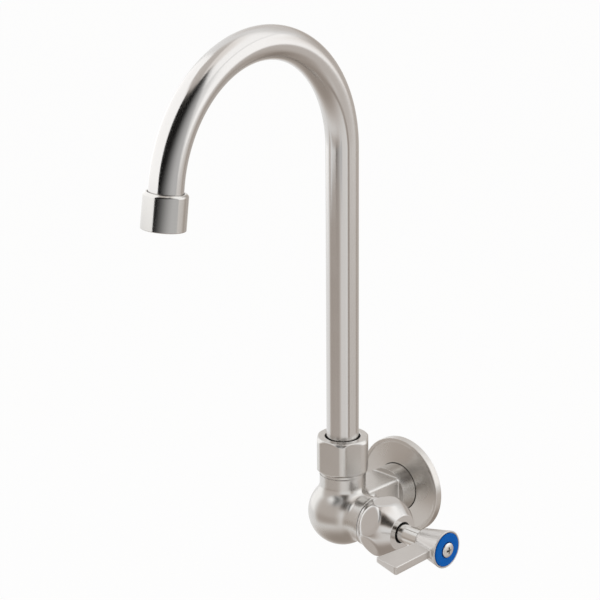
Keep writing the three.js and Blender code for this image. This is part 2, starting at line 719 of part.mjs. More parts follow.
function bonnet() {
  const threadStart = bonnetSeat - SHANK_THREAD_LENGTH;
  const shankEnd = SEAT_X + SHANK_SETBACK;
  const blank = alongX(turned([
    [spindleBoreRadius, shankShoulder],
    [SHANK_BORE_RADIUS, shankShoulder],
    [SHANK_BORE_RADIUS, shankEnd],
    [SHANK_RADIUS, shankEnd],
    [SHANK_RADIUS, threadStart],
    [CHAMBER_RADIUS - GAP, threadStart],
    [CHAMBER_RADIUS - GAP, bonnetSeat],
    ...barrelOutline(),
    [GLAND_RADIUS - GLAND_EDGE, bonnetEnd],
    [glandRecessRadius, bonnetEnd],
    [glandRecessRadius, bonnetEnd - GLAND_RING_DEPTH - GAP],
    [spindleBoreRadius, bonnetEnd - GLAND_RING_DEPTH - GAP],
  ]));
  const flats = alongX(prism(hexagon(BONNET_ACROSS_FLATS / 2, BONNET_CORNER_AZIMUTH), 0, bonnetEnd + OVERSHOOT));
  let solid = toSolid(blank).intersect(toSolid(flats));
  for (const window of bonnetWindows()) solid = solid.subtract(toSolid(window));
  return toGeometry(solid);
}

function bonnetGasket() {
  return alongX(washer(
    CHAMBER_RADIUS,
    BOSS_LIP_RADIUS - GAP,
    bonnetGasketBack,
    bonnetGasketBack + BONNET_GASKET_THICKNESS,
  ));
}

function glandRing() {
  const back = bonnetEnd - GLAND_RING_DEPTH;
  return alongX(washer(spindleBoreRadius, glandRecessRadius - GAP, back, bonnetEnd, SMALL_FACETS));
}

// ---------------------------------------------------------------- valve

function seatSeal() {
  const back = sealBack;
  const inner = discRadius - SEAT_SEAL_WIDTH;
  return alongX(washer(inner, discRadius, back, back + SEAT_SEAL_THICKNESS, SMALL_FACETS));
}

// A ceramic disc with two ports on opposite sides, centred on the given angle.
function portedDisc(back, portAzimuth) {
  const shape = new THREE.Shape().absarc(0, 0, discRadius, 0, 2 * Math.PI);
  for (const azimuth of [portAzimuth, portAzimuth + 180]) {
    const from = azimuth - DISC_PORT_ANGLE / 2;
    shape.holes.push(sector(new THREE.Path(), DISC_PORT_INNER, DISC_PORT_OUTER, from, from + DISC_PORT_ANGLE));
  }
  return alongX(prism(shape, back, back + DISC_THICKNESS, DISC_CURVE_STEPS));
}

const fixedDisc = () => portedDisc(fixedDiscBack, 0);

function movingDisc() {
  const slotWidth = DRIVE_BAR_WIDTH + 2 * GAP;
  const slotDepth = 2 * DRIVE_TANG_DEPTH;
  const slot = new THREE.BoxGeometry(slotDepth, slotWidth, 2 * (discRadius + OVERSHOOT))
    .translate(movingDiscBack + DISC_THICKNESS, 0, 0);
  return combine(portedDisc(movingDiscBack, QUARTER_TURN), [], [slot]);
}

const spindleRingMiddles = [0, 1].map((i) => shankShoulder + SPINDLE_RING_INSET + i * SPINDLE_RING_SPACING);

// A toothed outline, for the spline that carries the lever.
function splineShape(radius) {
  const shape = new THREE.Shape();
  const corners = SPLINE_TEETH * 4;
  for (let i = 0; i < corners; i++) {
    const reach = i % 4 < 2 ? radius : radius - SPLINE_TOOTH;
    const turn = ((i + 0.5) / corners) * 2 * Math.PI;
    const point = [reach * Math.cos(turn), reach * Math.sin(turn)];
    if (i === 0) shape.moveTo(...point);
    else shape.lineTo(...point);
  }
  return shape;
}

function spindle() {
  const groove = SPINDLE_RADIUS - SPINDLE_RING_SECTION - GAP;
  const half = ringGroove(SPINDLE_RING_SECTION) / 2;
  const outline = [[0, driveBarBack], [SPINDLE_RADIUS, driveBarBack]];
  for (const middle of spindleRingMiddles) {
    outline.push([SPINDLE_RADIUS, middle - half], [groove, middle - half]);
    outline.push([groove, middle + half], [SPINDLE_RADIUS, middle + half]);
  }
  outline.push([SPINDLE_RADIUS, SPINDLE_REACH], [0, SPINDLE_REACH]);
  const shaft = alongX(turned(outline, SMALL_FACETS));
  const spline = alongX(prism(splineShape(SPLINE_RADIUS), SPINDLE_REACH - OVERSHOOT, splineEnd));

  const barReach = SHANK_RADIUS - GAP;
  const bar = new THREE.BoxGeometry(DRIVE_BAR_THICKNESS, DRIVE_BAR_WIDTH, 2 * (barReach + OVERSHOOT))
    .translate((driveBarBack + driveBarFront) / 2, 0, 0);
  const barLimit = alongX(rod(barReach, driveBarBack - OVERSHOOT, driveBarFront + OVERSHOOT));
  const tangReach = discRadius - DRIVE_TANG_SETBACK;
  const tang = new THREE.BoxGeometry(2 * DRIVE_TANG_DEPTH, DRIVE_BAR_WIDTH, 2 * tangReach)
    .translate(driveBarBack, 0, 0);

  const holeEnd = splineEnd + OVERSHOOT;
  const screwHole = alongX(rod(SCREW_RADIUS + GAP, screwEnd - OVERSHOOT, holeEnd, HOLE_FACETS));
  return toGeometry(
    toSolid(bar)
      .intersect(toSolid(barLimit))
      .add(toSolid(shaft))
      .add(toSolid(tang))
      .add(toSolid(spline))
      .subtract(toSolid(screwHole)),
  );
}

const spindleRing = (middle) =>
  alongX(roundRing(SPINDLE_RADIUS - SPINDLE_RING_SECTION, SPINDLE_RADIUS, middle));

function spindleWasher() {
  return alongX(washer(spindleBoreRadius, discRadius, spindleWasherBack, spindleWasherFront, SMALL_FACETS));
}

// ---------------------------------------------------------------- handle

// The lever's plan, in X and Y: it flares from the hub to its tip, and its corners are rounded.
function leverPlan() {
  const front = hubFace - LEVER_FRONT_SETBACK;
  const rootFront = front - LEVER_FLARE;
  const corners = [
    [front, -LEVER_REACH],
    [rootFront, 0],
    [rootFront - LEVER_ROOT_WIDTH, 0],
    [front - LEVER_TIP_WIDTH, -LEVER_REACH + LEVER_TIP_SKEW],
  ].map(([x, y]) => new THREE.Vector2(x, y));
  const tipFront = corners[0];
  const tipBack = corners[3];
  const towards = (from, to) => from.clone().add(to.clone().sub(from).setLength(LEVER_CORNER));
  const shape = new THREE.Shape();
  shape.moveTo(corners[1].x, corners[1].y).lineTo(corners[2].x, corners[2].y);
  const [a, b] = [towards(tipBack, corners[2]), towards(tipBack, tipFront)];
  shape.lineTo(a.x, a.y).quadraticCurveTo(tipBack.x, tipBack.y, b.x, b.y);
  const [c, d] = [towards(tipFront, tipBack), towards(tipFront, corners[1])];
  shape.lineTo(c.x, c.y).quadraticCurveTo(tipFront.x, tipFront.y, d.x, d.y);
  return shape;
}

// A plate that is thinner along its inner edge: its underside slopes up towards the bonnet.
function leverPlate() {
  const plate = prism(leverPlan(), -LEVER_THICKNESS / 2, LEVER_THICKNESS / 2, LEVER_CORNER_STEPS);
  const slope = Math.atan2(LEVER_THICKNESS - LEVER_THIN_EDGE, LEVER_TIP_WIDTH);
  const span = 2 * (LEVER_REACH + LEVER_TIP_WIDTH);
  const cutter = new THREE.BoxGeometry(span, span, LEVER_THICKNESS)
    .translate(0, 0, -LEVER_THICKNESS / 2)
    .rotateY(slope)
    .translate(hubFace - LEVER_FRONT_SETBACK, 0, -LEVER_THICKNESS / 2);
  return combine(plate, [], [cutter]);
}

function leverHandle() {
  const roundCentre = [HUB_BACK_RADIUS - HUB_BACK_ROUND, hubBack + HUB_BACK_ROUND];
  const hub = alongX(turned([
    [0, hubBack],
    ...arc(roundCentre, [HUB_BACK_ROUND, HUB_BACK_ROUND], -90, 0),
    [HUB_FACE_RADIUS, hubFace - HUB_EDGE],
    [HUB_FACE_RADIUS - HUB_EDGE, hubFace],
    [INDEX_DISC_RADIUS + GAP, hubFace],
    [INDEX_DISC_RADIUS + GAP, hubFloor],
    [0, hubFloor],
  ]));
  const splineHole = alongX(prism(splineShape(SPLINE_RADIUS + GAP), hubBack - OVERSHOOT, splineEnd + GAP));
  const screwHole = alongX(rod(SCREW_RADIUS + GAP, splineEnd, hubFace, HOLE_FACETS));
  const dish = alongX(rod(INDEX_DISC_RADIUS + GAP, hubFloor, hubFace + OVERSHOOT));
  return combine(hub, [leverPlate()], [splineHole, screwHole, dish]);
}

function indexDisc() {
  const hole = SCREW_HEAD_RADIUS + GAP;
  return alongX(washer(hole, INDEX_DISC_RADIUS, screwSeat, screwSeat + INDEX_DISC_THICKNESS));
}

function handleScrew() {
  const headTop = screwSeat + SCREW_HEAD_HEIGHT;
  const screw = alongX(turned([
    [0, screwEnd],
    [SCREW_RADIUS, screwEnd],
    [SCREW_RADIUS, screwSeat],
    [SCREW_HEAD_RADIUS, screwSeat],
    ...arc([0, headTop - SCREW_CROWN], [SCREW_HEAD_RADIUS, SCREW_CROWN], 0, 90),
  ], SMALL_FACETS));
  const slot = () => new THREE.BoxGeometry(2 * CROSS_DEPTH, CROSS_WIDTH, CROSS_LENGTH);
  const upright = slot().translate(headTop, 0, 0);
  const level = slot().rotateX(Math.PI / 2).translate(headTop, 0, 0);
  return combine(screw, [], [upright, level]);
}

// ---------------------------------------------------------------- the tap

function finish(color, metalness, roughness) {
  return () => new THREE.MeshStandardMaterial({ color, metalness, roughness });
}

const brushedStainless = finish(0xb8b3ad, 1, 0.36);
const turnedStainless = finish(0xc2beb8, 1, 0.26);
const blackRubber = finish(0x161616, 0, 0.7);
const whiteNylon = finish(0xe4e1da, 0, 0.45);
const alumina = finish(0xf2efe8, 0, 0.2);
const greyPlastic = finish(0x9a9c9e, 0, 0.5);
const blueEnamel = finish(0x0a6ccb, 0, 0.18);

function addPart(group, name, geometry, material) {
  const mesh = new THREE.Mesh(welded(geometry), material());
  mesh.name = name;
  mesh.geometry.computeVertexNormals();
  group.add(mesh);
}

const tap = new THREE.Group();

addPart(tap, 'wall_flange', wallFlange(), turnedStainless);
addPart(tap, 'wall_gasket', wallGasket(), blackRubber);
addPart(tap, 'flange_o_ring', flangeRing(), blackRubber);

const fixed = new THREE.Group();
fixed.position.y = -WALL_TO_RISER;
tap.add(fixed);
addPart(fixed, 'valve_body', valveBody(), brushedStainless);
addPart(fixed, 'swivel_nut', swivelNut(), brushedStainless);
addPart(fixed, 'nut_wiper_ring', nutWiper(), blackRubber);
addPart(fixed, 'spout_thrust_washer', thrustWasher(), whiteNylon);
addPart(fixed, 'bonnet_gasket', bonnetGasket(), blackRubber);
addPart(fixed, 'bonnet', bonnet(), brushedStainless);
addPart(fixed, 'gland_ring', glandRing(), blackRubber);
addPart(fixed, 'seat_seal', seatSeal(), blackRubber);
addPart(fixed, 'fixed_ceramic_disc', fixedDisc(), alumina);
addPart(fixed, 'spindle_thrust_washer', spindleWasher(), whiteNylon);

const handle = new THREE.Group();
handle.position.copy(fixed.position);
tap.add(handle);
addPart(handle, 'moving_ceramic_disc', movingDisc(), alumina);
addPart(handle, 'spindle', spindle(), turnedStainless);
spindleRingMiddles.forEach((middle, i) => {
  addPart(handle, `spindle_o_ring_${i + 1}`, spindleRing(middle), blackRubber);
});
addPart(handle, 'lever_handle', leverHandle(), brushedStainless);
addPart(handle, 'index_disc', indexDisc(), blueEnamel);
addPart(handle, 'handle_screw', handleScrew(), turnedStainless);

const spout = new THREE.Group();
spout.position.copy(fixed.position);
spout.rotation.z = degrees(SPOUT_TURN);
tap.add(spout);
addPart(spout, 'spout_tail', spoutTail(), turnedStainless);
tailRingMiddles.forEach((middle, i) => {
  addPart(spout, `tail_o_ring_${i + 1}`, tailRing(middle), blackRubber);
});
addPart(spout, 'spout_tube', spoutTube(), brushedStainless);
addPart(spout, 'nozzle_collar', nozzleCollar(), brushedStainless);
addPart(spout, 'aerator_washer', aeratorWasher(), blackRubber);
addPart(spout, 'aerator_body', aeratorBody(), greyPlastic);
addPart(spout, 'aerator_screen', aeratorScreen(), turnedStainless);
addPart(spout, 'flow_straightener', flowStraightener(), greyPlastic);

export default tap;
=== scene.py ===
# %% [markdown]
# # A commercial wall faucet in satin stainless steel
#
# The tap is one of the plain, strong ones over the sinks of a restaurant kitchen. A round flange hides
# the hole in the wall, a short square arm carries a ball-shaped body, a bent tube swivels in a union nut
# on top, and a lever on the right turns a ceramic valve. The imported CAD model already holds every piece
# at its true size and place, with flat facets. This lesson loads it, keeps the pieces that nobody sees,
# and makes the visible ones again, smooth and with the finish that each has in the shop.

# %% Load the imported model
import math

import bmesh
import bpy
import numpy as np
from mathutils import Matrix, Vector


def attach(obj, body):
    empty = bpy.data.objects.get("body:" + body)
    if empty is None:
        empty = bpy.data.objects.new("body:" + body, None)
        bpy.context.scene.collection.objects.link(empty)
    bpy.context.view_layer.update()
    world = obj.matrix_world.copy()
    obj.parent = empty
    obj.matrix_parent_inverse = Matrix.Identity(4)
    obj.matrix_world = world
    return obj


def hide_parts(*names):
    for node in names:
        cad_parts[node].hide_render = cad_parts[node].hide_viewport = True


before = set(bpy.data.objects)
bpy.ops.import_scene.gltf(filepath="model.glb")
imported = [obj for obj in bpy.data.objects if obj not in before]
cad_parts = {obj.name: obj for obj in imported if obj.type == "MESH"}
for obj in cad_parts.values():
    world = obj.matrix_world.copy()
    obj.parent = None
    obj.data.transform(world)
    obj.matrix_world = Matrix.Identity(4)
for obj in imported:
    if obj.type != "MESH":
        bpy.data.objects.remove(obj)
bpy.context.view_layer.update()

# %% [markdown]
# ## Where the pieces are
#
# All lengths below are in millimetres, and each finished mesh is scaled to metres. A turned piece is
# drawn along Z, as it stands in the lathe, so each needs a matrix that lays it on its own axis: the
# riser, the spindle, the arm, the wall side, or the tilted end of the spout.

# %% The five lathe axes
MM = 0.001
WALL_TO_RISER = 54.4
SPOUT_TURN = math.radians(4.1)
ARCH_RADIUS, ARCH_HEIGHT, ARCH_SWEEP = 72.0, 221.5, math.radians(171.6)

UPRIGHT = Matrix.Translation((0, -WALL_TO_RISER, 0))
LATHE_TO_X = Matrix.Rotation(math.pi / 2, 4, "Y")
ALONG_SPINDLE = UPRIGHT @ LATHE_TO_X
ALONG_ARM = UPRIGHT @ Matrix.Rotation(-math.pi / 2, 4, "X")
FROM_WALL = Matrix.Rotation(math.pi / 2, 4, "X")
SPOUT = UPRIGHT @ Matrix.Rotation(SPOUT_TURN, 4, "Z")
arch_end = Vector((0, ARCH_RADIUS * (math.cos(ARCH_SWEEP) - 1),
                   ARCH_HEIGHT + ARCH_RADIUS * math.sin(ARCH_SWEEP)))
SPOUT_END = SPOUT @ Matrix.Translation(arch_end) @ Matrix.Rotation(ARCH_SWEEP, 4, "X")
print("the arch ends at", [round(v, 1) for v in SPOUT_END.translation])

# %% [markdown]
# ## Colours and nodes
#
# A colour picked on a screen is in sRGB, and the shader counts in linear light, so one function turns a
# hex value into the other. Two more add a node and fill its sockets, and a short one links what a shader
# gives to the output. Everything else is the shader nodes themselves.

# %% Helpers for materials
def hex_colour(code):
    """The linear RGBA of an sRGB hex value such as #c4bfb8."""
    shares = [int(code[i:i + 2], 16) / 255 for i in (1, 3, 5)]
    return tuple(s / 12.92 if s <= 0.04045 else ((s + 0.055) / 1.055) ** 2.4 for s in shares) + (1.0,)


def fill(tree, node, inputs):
    """Fills a node's sockets, by name or number, with plain values or other nodes' outputs."""
    for name, value in inputs.items():
        if isinstance(value, bpy.types.NodeSocket):
            tree.links.new(value, node.inputs[name])
        else:
            node.inputs[name].default_value = value


def add_node(tree, kind, inputs=None, **fields):
    """Adds a node. fields are its own settings."""
    node = tree.nodes.new(kind)
    for name, value in fields.items():
        setattr(node, name, value)
    fill(tree, node, inputs or {})
    return node


def show(tree, light):
    """Links what a shader gives to the material's output."""
    output = next(node for node in tree.nodes if node.type == "OUTPUT_MATERIAL")
    tree.links.new(light, output.inputs["Surface"])


def new_material(name):
    """An empty node material and its shader, ready for the sockets to be set."""
    material = bpy.data.materials.new(name)
    material.use_nodes = True
    tree = material.node_tree
    tree.nodes.clear()
    shader = add_node(tree, "ShaderNodeBsdfPrincipled")
    add_node(tree, "ShaderNodeOutputMaterial")
    show(tree, shader.outputs[0])
    return material, tree, shader


# %% [markdown]
# ## One steel, several finishes
#
# The tap is one alloy, 304 stainless, and what the eye tells apart is the finish of each piece. The
# casting was blasted with fine beads and rubbed over, so its gloss is soft and even. The flange, nut,
# bonnet, spindle and nozzle came off a lathe, and the bent tube was polished with a belt that wraps round
# it. Both leave rings too fine to count, which keep a reflection sharp along the ring and smear it
# across. The lever was tumbled, and is the dullest.
#
# All of them are a Principled shader with metallic 1. The rings are a noise that reads only how far a
# point is from the axis and how far along it, so it doesn't change on the way round. The same axis gives
# the tangent for the anisotropic smear. A slow noise varies the roughness a little, as hands and cloths
# do. Real turning marks are about 0.05 mm apart, far below a pixel, so they are drawn at 0.4 mm, faintly.

# %% Stainless finishes
MARK_WIDTH = 0.4 * MM
SMEAR_WIDTH = 14 * MM
ACROSS_THE_MARKS = 0.25
ROUND_TO_ALONG = 0.03


def stainless(name, colour, roughness, depth, place=None, anisotropy=0.0, around=None):
    """Steel with marks that deep, in mm: rings about the Z of place, rings on a tube's UV map, or grain."""
    material, tree, shader = new_material(name)
    where = add_node(tree, "ShaderNodeTexCoord")
    marks, ways = where.outputs["Object"], None
    if place:
        centred = add_node(tree, "ShaderNodeVectorMath", {
            0: marks, 1: place.translation * MM}, operation="SUBTRACT").outputs[0]
        axis = place.to_3x3() @ Vector((0, 0, 1))
        along = add_node(tree, "ShaderNodeVectorMath", {0: centred, 1: axis}, operation="DOT_PRODUCT")
        ring = add_node(tree, "ShaderNodeVectorMath", {0: axis, 1: centred}, operation="CROSS_PRODUCT")
        radius = add_node(tree, "ShaderNodeVectorMath", {0: ring.outputs[0]}, operation="LENGTH")
        marks = add_node(tree, "ShaderNodeCombineXYZ", {
            0: radius.outputs["Value"], 1: along.outputs["Value"]}).outputs[0]
        ways = add_node(tree, "ShaderNodeVectorTransform", {0: ring.outputs[0]},
                        vector_type="VECTOR", convert_from="OBJECT", convert_to="WORLD").outputs[0]
    elif around:
        marks = add_node(tree, "ShaderNodeMapping", {
            0: where.outputs["UV"], "Scale": (ROUND_TO_ALONG, 1, 1)}).outputs[0]
        ways = add_node(tree, "ShaderNodeTangent", direction_type="UV_MAP", uv_map=around).outputs[0]
    fine = add_node(tree, "ShaderNodeTexNoise", {
        "Vector": marks, "Scale": 1 / MARK_WIDTH, "Detail": 1.0, "Roughness": 0.5})
    slow = add_node(tree, "ShaderNodeTexNoise", {
        "Vector": where.outputs["Object"], "Scale": 1 / SMEAR_WIDTH, "Detail": 1.0})
    worn = add_node(tree, "ShaderNodeMapRange", {
        "Value": slow.outputs[0], "From Min": 0.3, "From Max": 0.7,
        "To Min": roughness * 0.93, "To Max": roughness * 1.07})
    bump = add_node(tree, "ShaderNodeBump", {"Height": fine.outputs[0], "Distance": depth * MM})
    fill(tree, shader, {"Metallic": 1.0, "Base Color": hex_colour(colour), "Roughness": worn.outputs[0],
                        "Normal": bump.outputs[0]})
    if ways:
        fill(tree, shader, {
            "Tangent": ways, "Anisotropic": anisotropy, "Anisotropic Rotation": ACROSS_THE_MARKS})
    return material


# Bead-blasted and rubbed casting: an even, soft gloss with no direction.
cast_steel = stainless("stainless_304_blasted_casting", "#d0cecb", 0.26, 0.003)
# Belt-polished tube: sharp bands along it, and faint lines round it.
tube_steel = stainless("stainless_304_belt_polished_tube", "#d2d0ce", 0.18, 0.0006, anisotropy=0.7,
                       around="round_and_along")
# Turned flange: rings round its middle fan the reflections out like spokes.
flange_steel = stainless("stainless_304_turned_flange", "#d0cdc9", 0.26, 0.002, FROM_WALL, 0.7)
# Nut, turned on the riser's axis and rubbed over.
nut_steel = stainless("stainless_304_turned_nut", "#d0cecb", 0.25, 0.002, UPRIGHT, 0.3)
# Bonnet and spindle, turned on the spindle's axis and buffed.
bonnet_steel = stainless("stainless_304_buffed_bonnet", "#d2d0ce", 0.2, 0.0015, ALONG_SPINDLE, 0.3)
spindle_steel = stainless("stainless_304_turned_spindle", "#d8d6d3", 0.16, 0.0015, ALONG_SPINDLE, 0.5)
# Nozzle, turned on the spout's end.
nozzle_steel = stainless("stainless_304_turned_nozzle", "#d0cecb", 0.18, 0.002, SPOUT_END, 0.6)
# Lever and hub, tumbled: the dullest steel on the tap.
lever_steel = stainless("stainless_304_tumbled_lever", "#d2cfcc", 0.36, 0.004)
# Screw head, cold-formed and bright.
screw_steel = stainless("stainless_a2_bright_screw", "#e0dedb", 0.2, 0.001, ALONG_SPINDLE, 0.2)
print("nine finishes of one alloy")

# %% [markdown]
# ## Rubber, nylon, ceramic, acetal and enamel
#
# Rubber is almost black and dull, with a slight moulding grain. Nylon and acetal are plastics with a soft
# sheen. The discs of the valve are alumina, lapped so flat that they shine. The disc in the lever is
# glossy blue enamel on metal.

# %% The other materials
def moulded(name, colour, shade, roughness, grain_size, depth, ior=1.5):
    """A plastic, rubber, ceramic or enamel: two near shades in a fine mottle, and a shallow bump."""
    material, tree, shader = new_material(name)
    place = add_node(tree, "ShaderNodeTexCoord")
    mottle = add_node(tree, "ShaderNodeTexNoise", {
        "Vector": place.outputs["Object"], "Scale": 1 / (grain_size * MM), "Detail": 3.0})
    tint = add_node(tree, "ShaderNodeMix", {
        0: mottle.outputs[0], 6: hex_colour(colour), 7: hex_colour(shade)}, data_type="RGBA")
    matt = add_node(tree, "ShaderNodeMapRange", {
        "Value": mottle.outputs[0], "To Min": roughness * 0.9, "To Max": roughness * 1.1})
    bump = add_node(tree, "ShaderNodeBump", {"Height": mottle.outputs[0], "Distance": depth * MM})
    fill(tree, shader, {"Base Color": tint.outputs[2], "Roughness": matt.outputs[0], "IOR": ior,
                        "Normal": bump.outputs[0]})
    return material


# Nitrile rubber: nearly black, with the dull bloom that moulded seals have.
rubber = moulded("nitrile_rubber_moulded", "#141414", "#1d1c1b", 0.62, 1.2, 0.02)
# Natural nylon: milky, a little yellow.
nylon = moulded("nylon_66_natural", "#e6e2d8", "#dcd7ca", 0.42, 2.0, 0.01, ior=1.53)
# Alumina ceramic, lapped: white and close to a mirror.
ceramic = moulded("alumina_ceramic_lapped", "#f0ede5", "#e6e2d9", 0.12, 1.5, 0.002, ior=1.76)
# Acetal, injection-moulded: mid grey with a satin skin.
acetal = moulded("acetal_moulded_grey", "#96999b", "#8a8d90", 0.42, 1.5, 0.01, ior=1.48)
# Glossy enamel: a deep, clear blue that pools a little unevenly before it is fired.
enamel = moulded("enamel_fired_blue", "#0062bb", "#0058ad", 0.3, 0.8, 0.01)
enamel.node_tree.nodes["Principled BSDF"].inputs["Specular IOR Level"].default_value = 0.06
print("five more materials")

# %% [markdown]
# ## From a bmesh to a finished piece
#
# Every piece ends in the same way: doubled points are merged, which also closes the poles of a turned
# shape, faces are turned outwards, and millimetres become metres. Faces are shaded smooth, except over
# edges sharper than 40 degrees, and a Weighted Normal modifier lets the large faces decide, so a flat
# stays flat up to its rounded edge. Then the piece is hung on the body that it rides on, and the CAD
# nodes that it stands for are hidden.

# %% Finish a piece
WELD = 0.002
SHARP_EDGE = math.radians(40)


def mesh_from(bm, name):
    """Turns the bmesh into a mesh and frees it."""
    mesh = bpy.data.meshes.new(name)
    bm.to_mesh(mesh)
    bm.free()
    return mesh


def new_object(name, data):
    """Puts an object with that data into the scene."""
    thing = bpy.data.objects.new(name, data)
    bpy.context.scene.collection.objects.link(thing)
    return thing


def modified_mesh(thing):
    """The mesh that an object's modifiers make of it."""
    return bpy.data.meshes.new_from_object(thing.evaluated_get(bpy.context.evaluated_depsgraph_get()))


def finish_piece(bm, name, body, slot, material, *stands_for):
    """Makes the bmesh, in millimetres, an object that rides on its body."""
    bmesh.ops.remove_doubles(bm, verts=bm.verts, dist=WELD)
    bmesh.ops.recalc_face_normals(bm, faces=bm.faces)
    bmesh.ops.scale(bm, vec=(MM, MM, MM), verts=bm.verts)
    open_edges = sum(1 for edge in bm.edges if len(edge.link_faces) != 2)
    mesh = mesh_from(bm, name)
    mesh.shade_smooth()
    mesh.set_sharp_from_angle(angle=SHARP_EDGE)
    mesh.materials.append(material)
    piece = new_object(name, mesh)
    weighted = piece.modifiers.new("even_normals", "WEIGHTED_NORMAL")
    weighted.keep_sharp = True
    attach(piece, body)
    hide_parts(*stands_for)
    print(name, len(mesh.polygons), "faces,", open_edges, "open edges")
    return piece


# %% [markdown]
# ## The lathe
#
# Most of the tap was turned, so most of it is made as on a lathe: an outline is drawn in one half plane
# and spun about the axis. Each corner of the outline is given as height, radius and the rounding that a
# file or a polishing wheel leaves on it. The corners of the wire are rounded before the spin, so every
# ring gets it evenly.

# %% Turn an outline
def spin_up(bm, geom, degrees, steps, merge=False):
    """Spins a wire or a face about Z."""
    bmesh.ops.spin(bm, geom=geom, cent=(0, 0, 0), axis=(0, 0, 1), dvec=(0, 0, 0), steps=steps,
                   angle=math.radians(degrees), use_merge=merge, use_duplicate=False)


def turn(outline, place=Matrix.Identity(4), steps=160, closed=True, spacing=None, beyond=0.0, bm=None):
    """Spins (height, radius, rounding) corners about Z and lays the result on place.
    Edges outside the radius beyond are cut into lengths of spacing."""
    lathe = bmesh.new()
    corners = [lathe.verts.new((radius, 0, height)) for height, radius, _ in outline]
    for pair in zip(corners, corners[1:]):
        lathe.edges.new(pair)
    if closed:
        lathe.edges.new((corners[-1], corners[0]))
    for rounding in sorted({corner[2] for corner in outline if corner[2]}):
        rounded = [v for v, corner in zip(corners, outline) if corner[2] == rounding]
        bmesh.ops.bevel(lathe, geom=rounded, offset=rounding, affect="VERTICES",
                        segments=3 if rounding < 1 else 8, profile=0.5, material=-1, offset_type="OFFSET")
    if spacing:
        for edge in lathe.edges[:]:
            cuts = int(edge.calc_length() / spacing)
            if cuts and min(v.co.x for v in edge.verts) > beyond:
                bmesh.ops.subdivide_edges(lathe, edges=[edge], cuts=cuts)
    spin_up(lathe, lathe.verts[:] + lathe.edges[:], 360, steps, merge=True)
    bmesh.ops.remove_doubles(lathe, verts=lathe.verts, dist=WELD)
    bmesh.ops.recalc_face_normals(lathe, faces=lathe.faces)
    bmesh.ops.transform(lathe, matrix=place, verts=lathe.verts)
    return join_into(bm, lathe) if bm else lathe


def join_into(bm, added):
    """Puts a second bmesh into the first."""
    passing = mesh_from(added, "passing")
    bm.from_mesh(passing)
    bpy.data.meshes.remove(passing)
    return bm


# %% [markdown]
# ## The wall flange and its gasket
#
# The flange is a shallow dish 60 mm across. Its rim carries a flat bright band, a thin groove parts the
# band from the face, and the face rises a little towards the arm. A rubber gasket sits in the hollow at
# its back and keeps water out of the wall.

# %% Flange and gasket
finish_piece(turn([
    (2.1, 14.9, 0.2), (2.1, 24.8, 0), (0, 24.8, 0.2), (0, 30, 0.4), (4.7, 30, 0.5), (4.7, 27.9, 0.15),
    (4.25, 27.7, 0.1), (4.45, 27.4, 0.1), (6.0, 14.9, 0.25),
], FROM_WALL, steps=240), "flange_dish", "tap_body", "turned_stainless", flange_steel, "wall_flange")

finish_piece(turn([
    (0, 10.8, 0.2), (0, 24.5, 0.3), (1.8, 24.5, 0.3), (1.8, 10.8, 0.2),
], FROM_WALL), "flange_gasket", "tap_body", "black_rubber", rubber, "wall_gasket")

# %% [markdown]
# ## The valve body
#
# The body is one casting: a ball, a neck for the spout, a boss for the valve, and a square arm that ends
# in a round collar at the wall. Where two of these meet, the metal runs from one into the other with a
# small fillet. Rough shapes are joined by a voxel remesh, which gives one even skin, and then each point
# of the skin slides onto a rounded union of the exact shapes, whose distance formula blends neighbours
# over a couple of millimetres.

# %% Blend shapes into one skin
def smaller(a, b, soft):
    """The smaller of two distances, rounded where they are nearly equal."""
    share = np.clip(0.5 + 0.5 * (b - a) / soft, 0, 1)
    return b * (1 - share) + a * share - soft * share * (1 - share)


def larger(a, b, soft):
    """The larger of two distances, rounded in the same way."""
    return -smaller(-a, -b, soft)


SLIDES, LONGEST_SLIDE, PROBE, LEAST_STEEP = 7, 0.4, 0.01, 0.05


def melt(seeds, voxel, distance):
    """One skin over the seed shapes, moved onto the surface where distance is nought."""
    mesh = mesh_from(seeds, "seeds")
    rough = new_object("seeds", mesh)
    remesh = rough.modifiers.new("skin", "REMESH")
    remesh.mode, remesh.voxel_size = "VOXEL", voxel
    skin = modified_mesh(rough)
    bpy.data.objects.remove(rough)
    bpy.data.meshes.remove(mesh)
    points = np.empty(len(skin.vertices) * 3)
    skin.vertices.foreach_get("co", points)
    points = points.reshape(-1, 3)
    for _ in range(SLIDES):
        here = distance(points)
        slope = np.stack([(distance(points + step) - here) / PROBE for step in PROBE * np.eye(3)], axis=1)
        steepness = np.maximum((slope ** 2).sum(1), LEAST_STEEP)
        points -= slope * np.clip(here / steepness, -LONGEST_SLIDE, LONGEST_SLIDE)[:, None]
    skin.vertices.foreach_set("co", points.ravel())
    bm = bmesh.new()
    bm.from_mesh(skin)
    bpy.data.meshes.remove(skin)
    off = float(np.median(np.abs(distance(points))))
    print("skin of", len(bm.faces), "faces, half of it within", round(off, 5), "mm of the shapes")
    return bm


# %% [markdown]
# The distance formulas work round the middle of the ball, with X along the spindle, Y into the wall and Z
# up. The arm is a square bar with its corners rounded, which meets the round collar in a short fillet.
# Behind the neck, on the lever's side, the ball is dressed off: the arm's top edge runs up to the neck.
# The collar's own front edge is turned later, so the skin stops half a millimetre short of it.

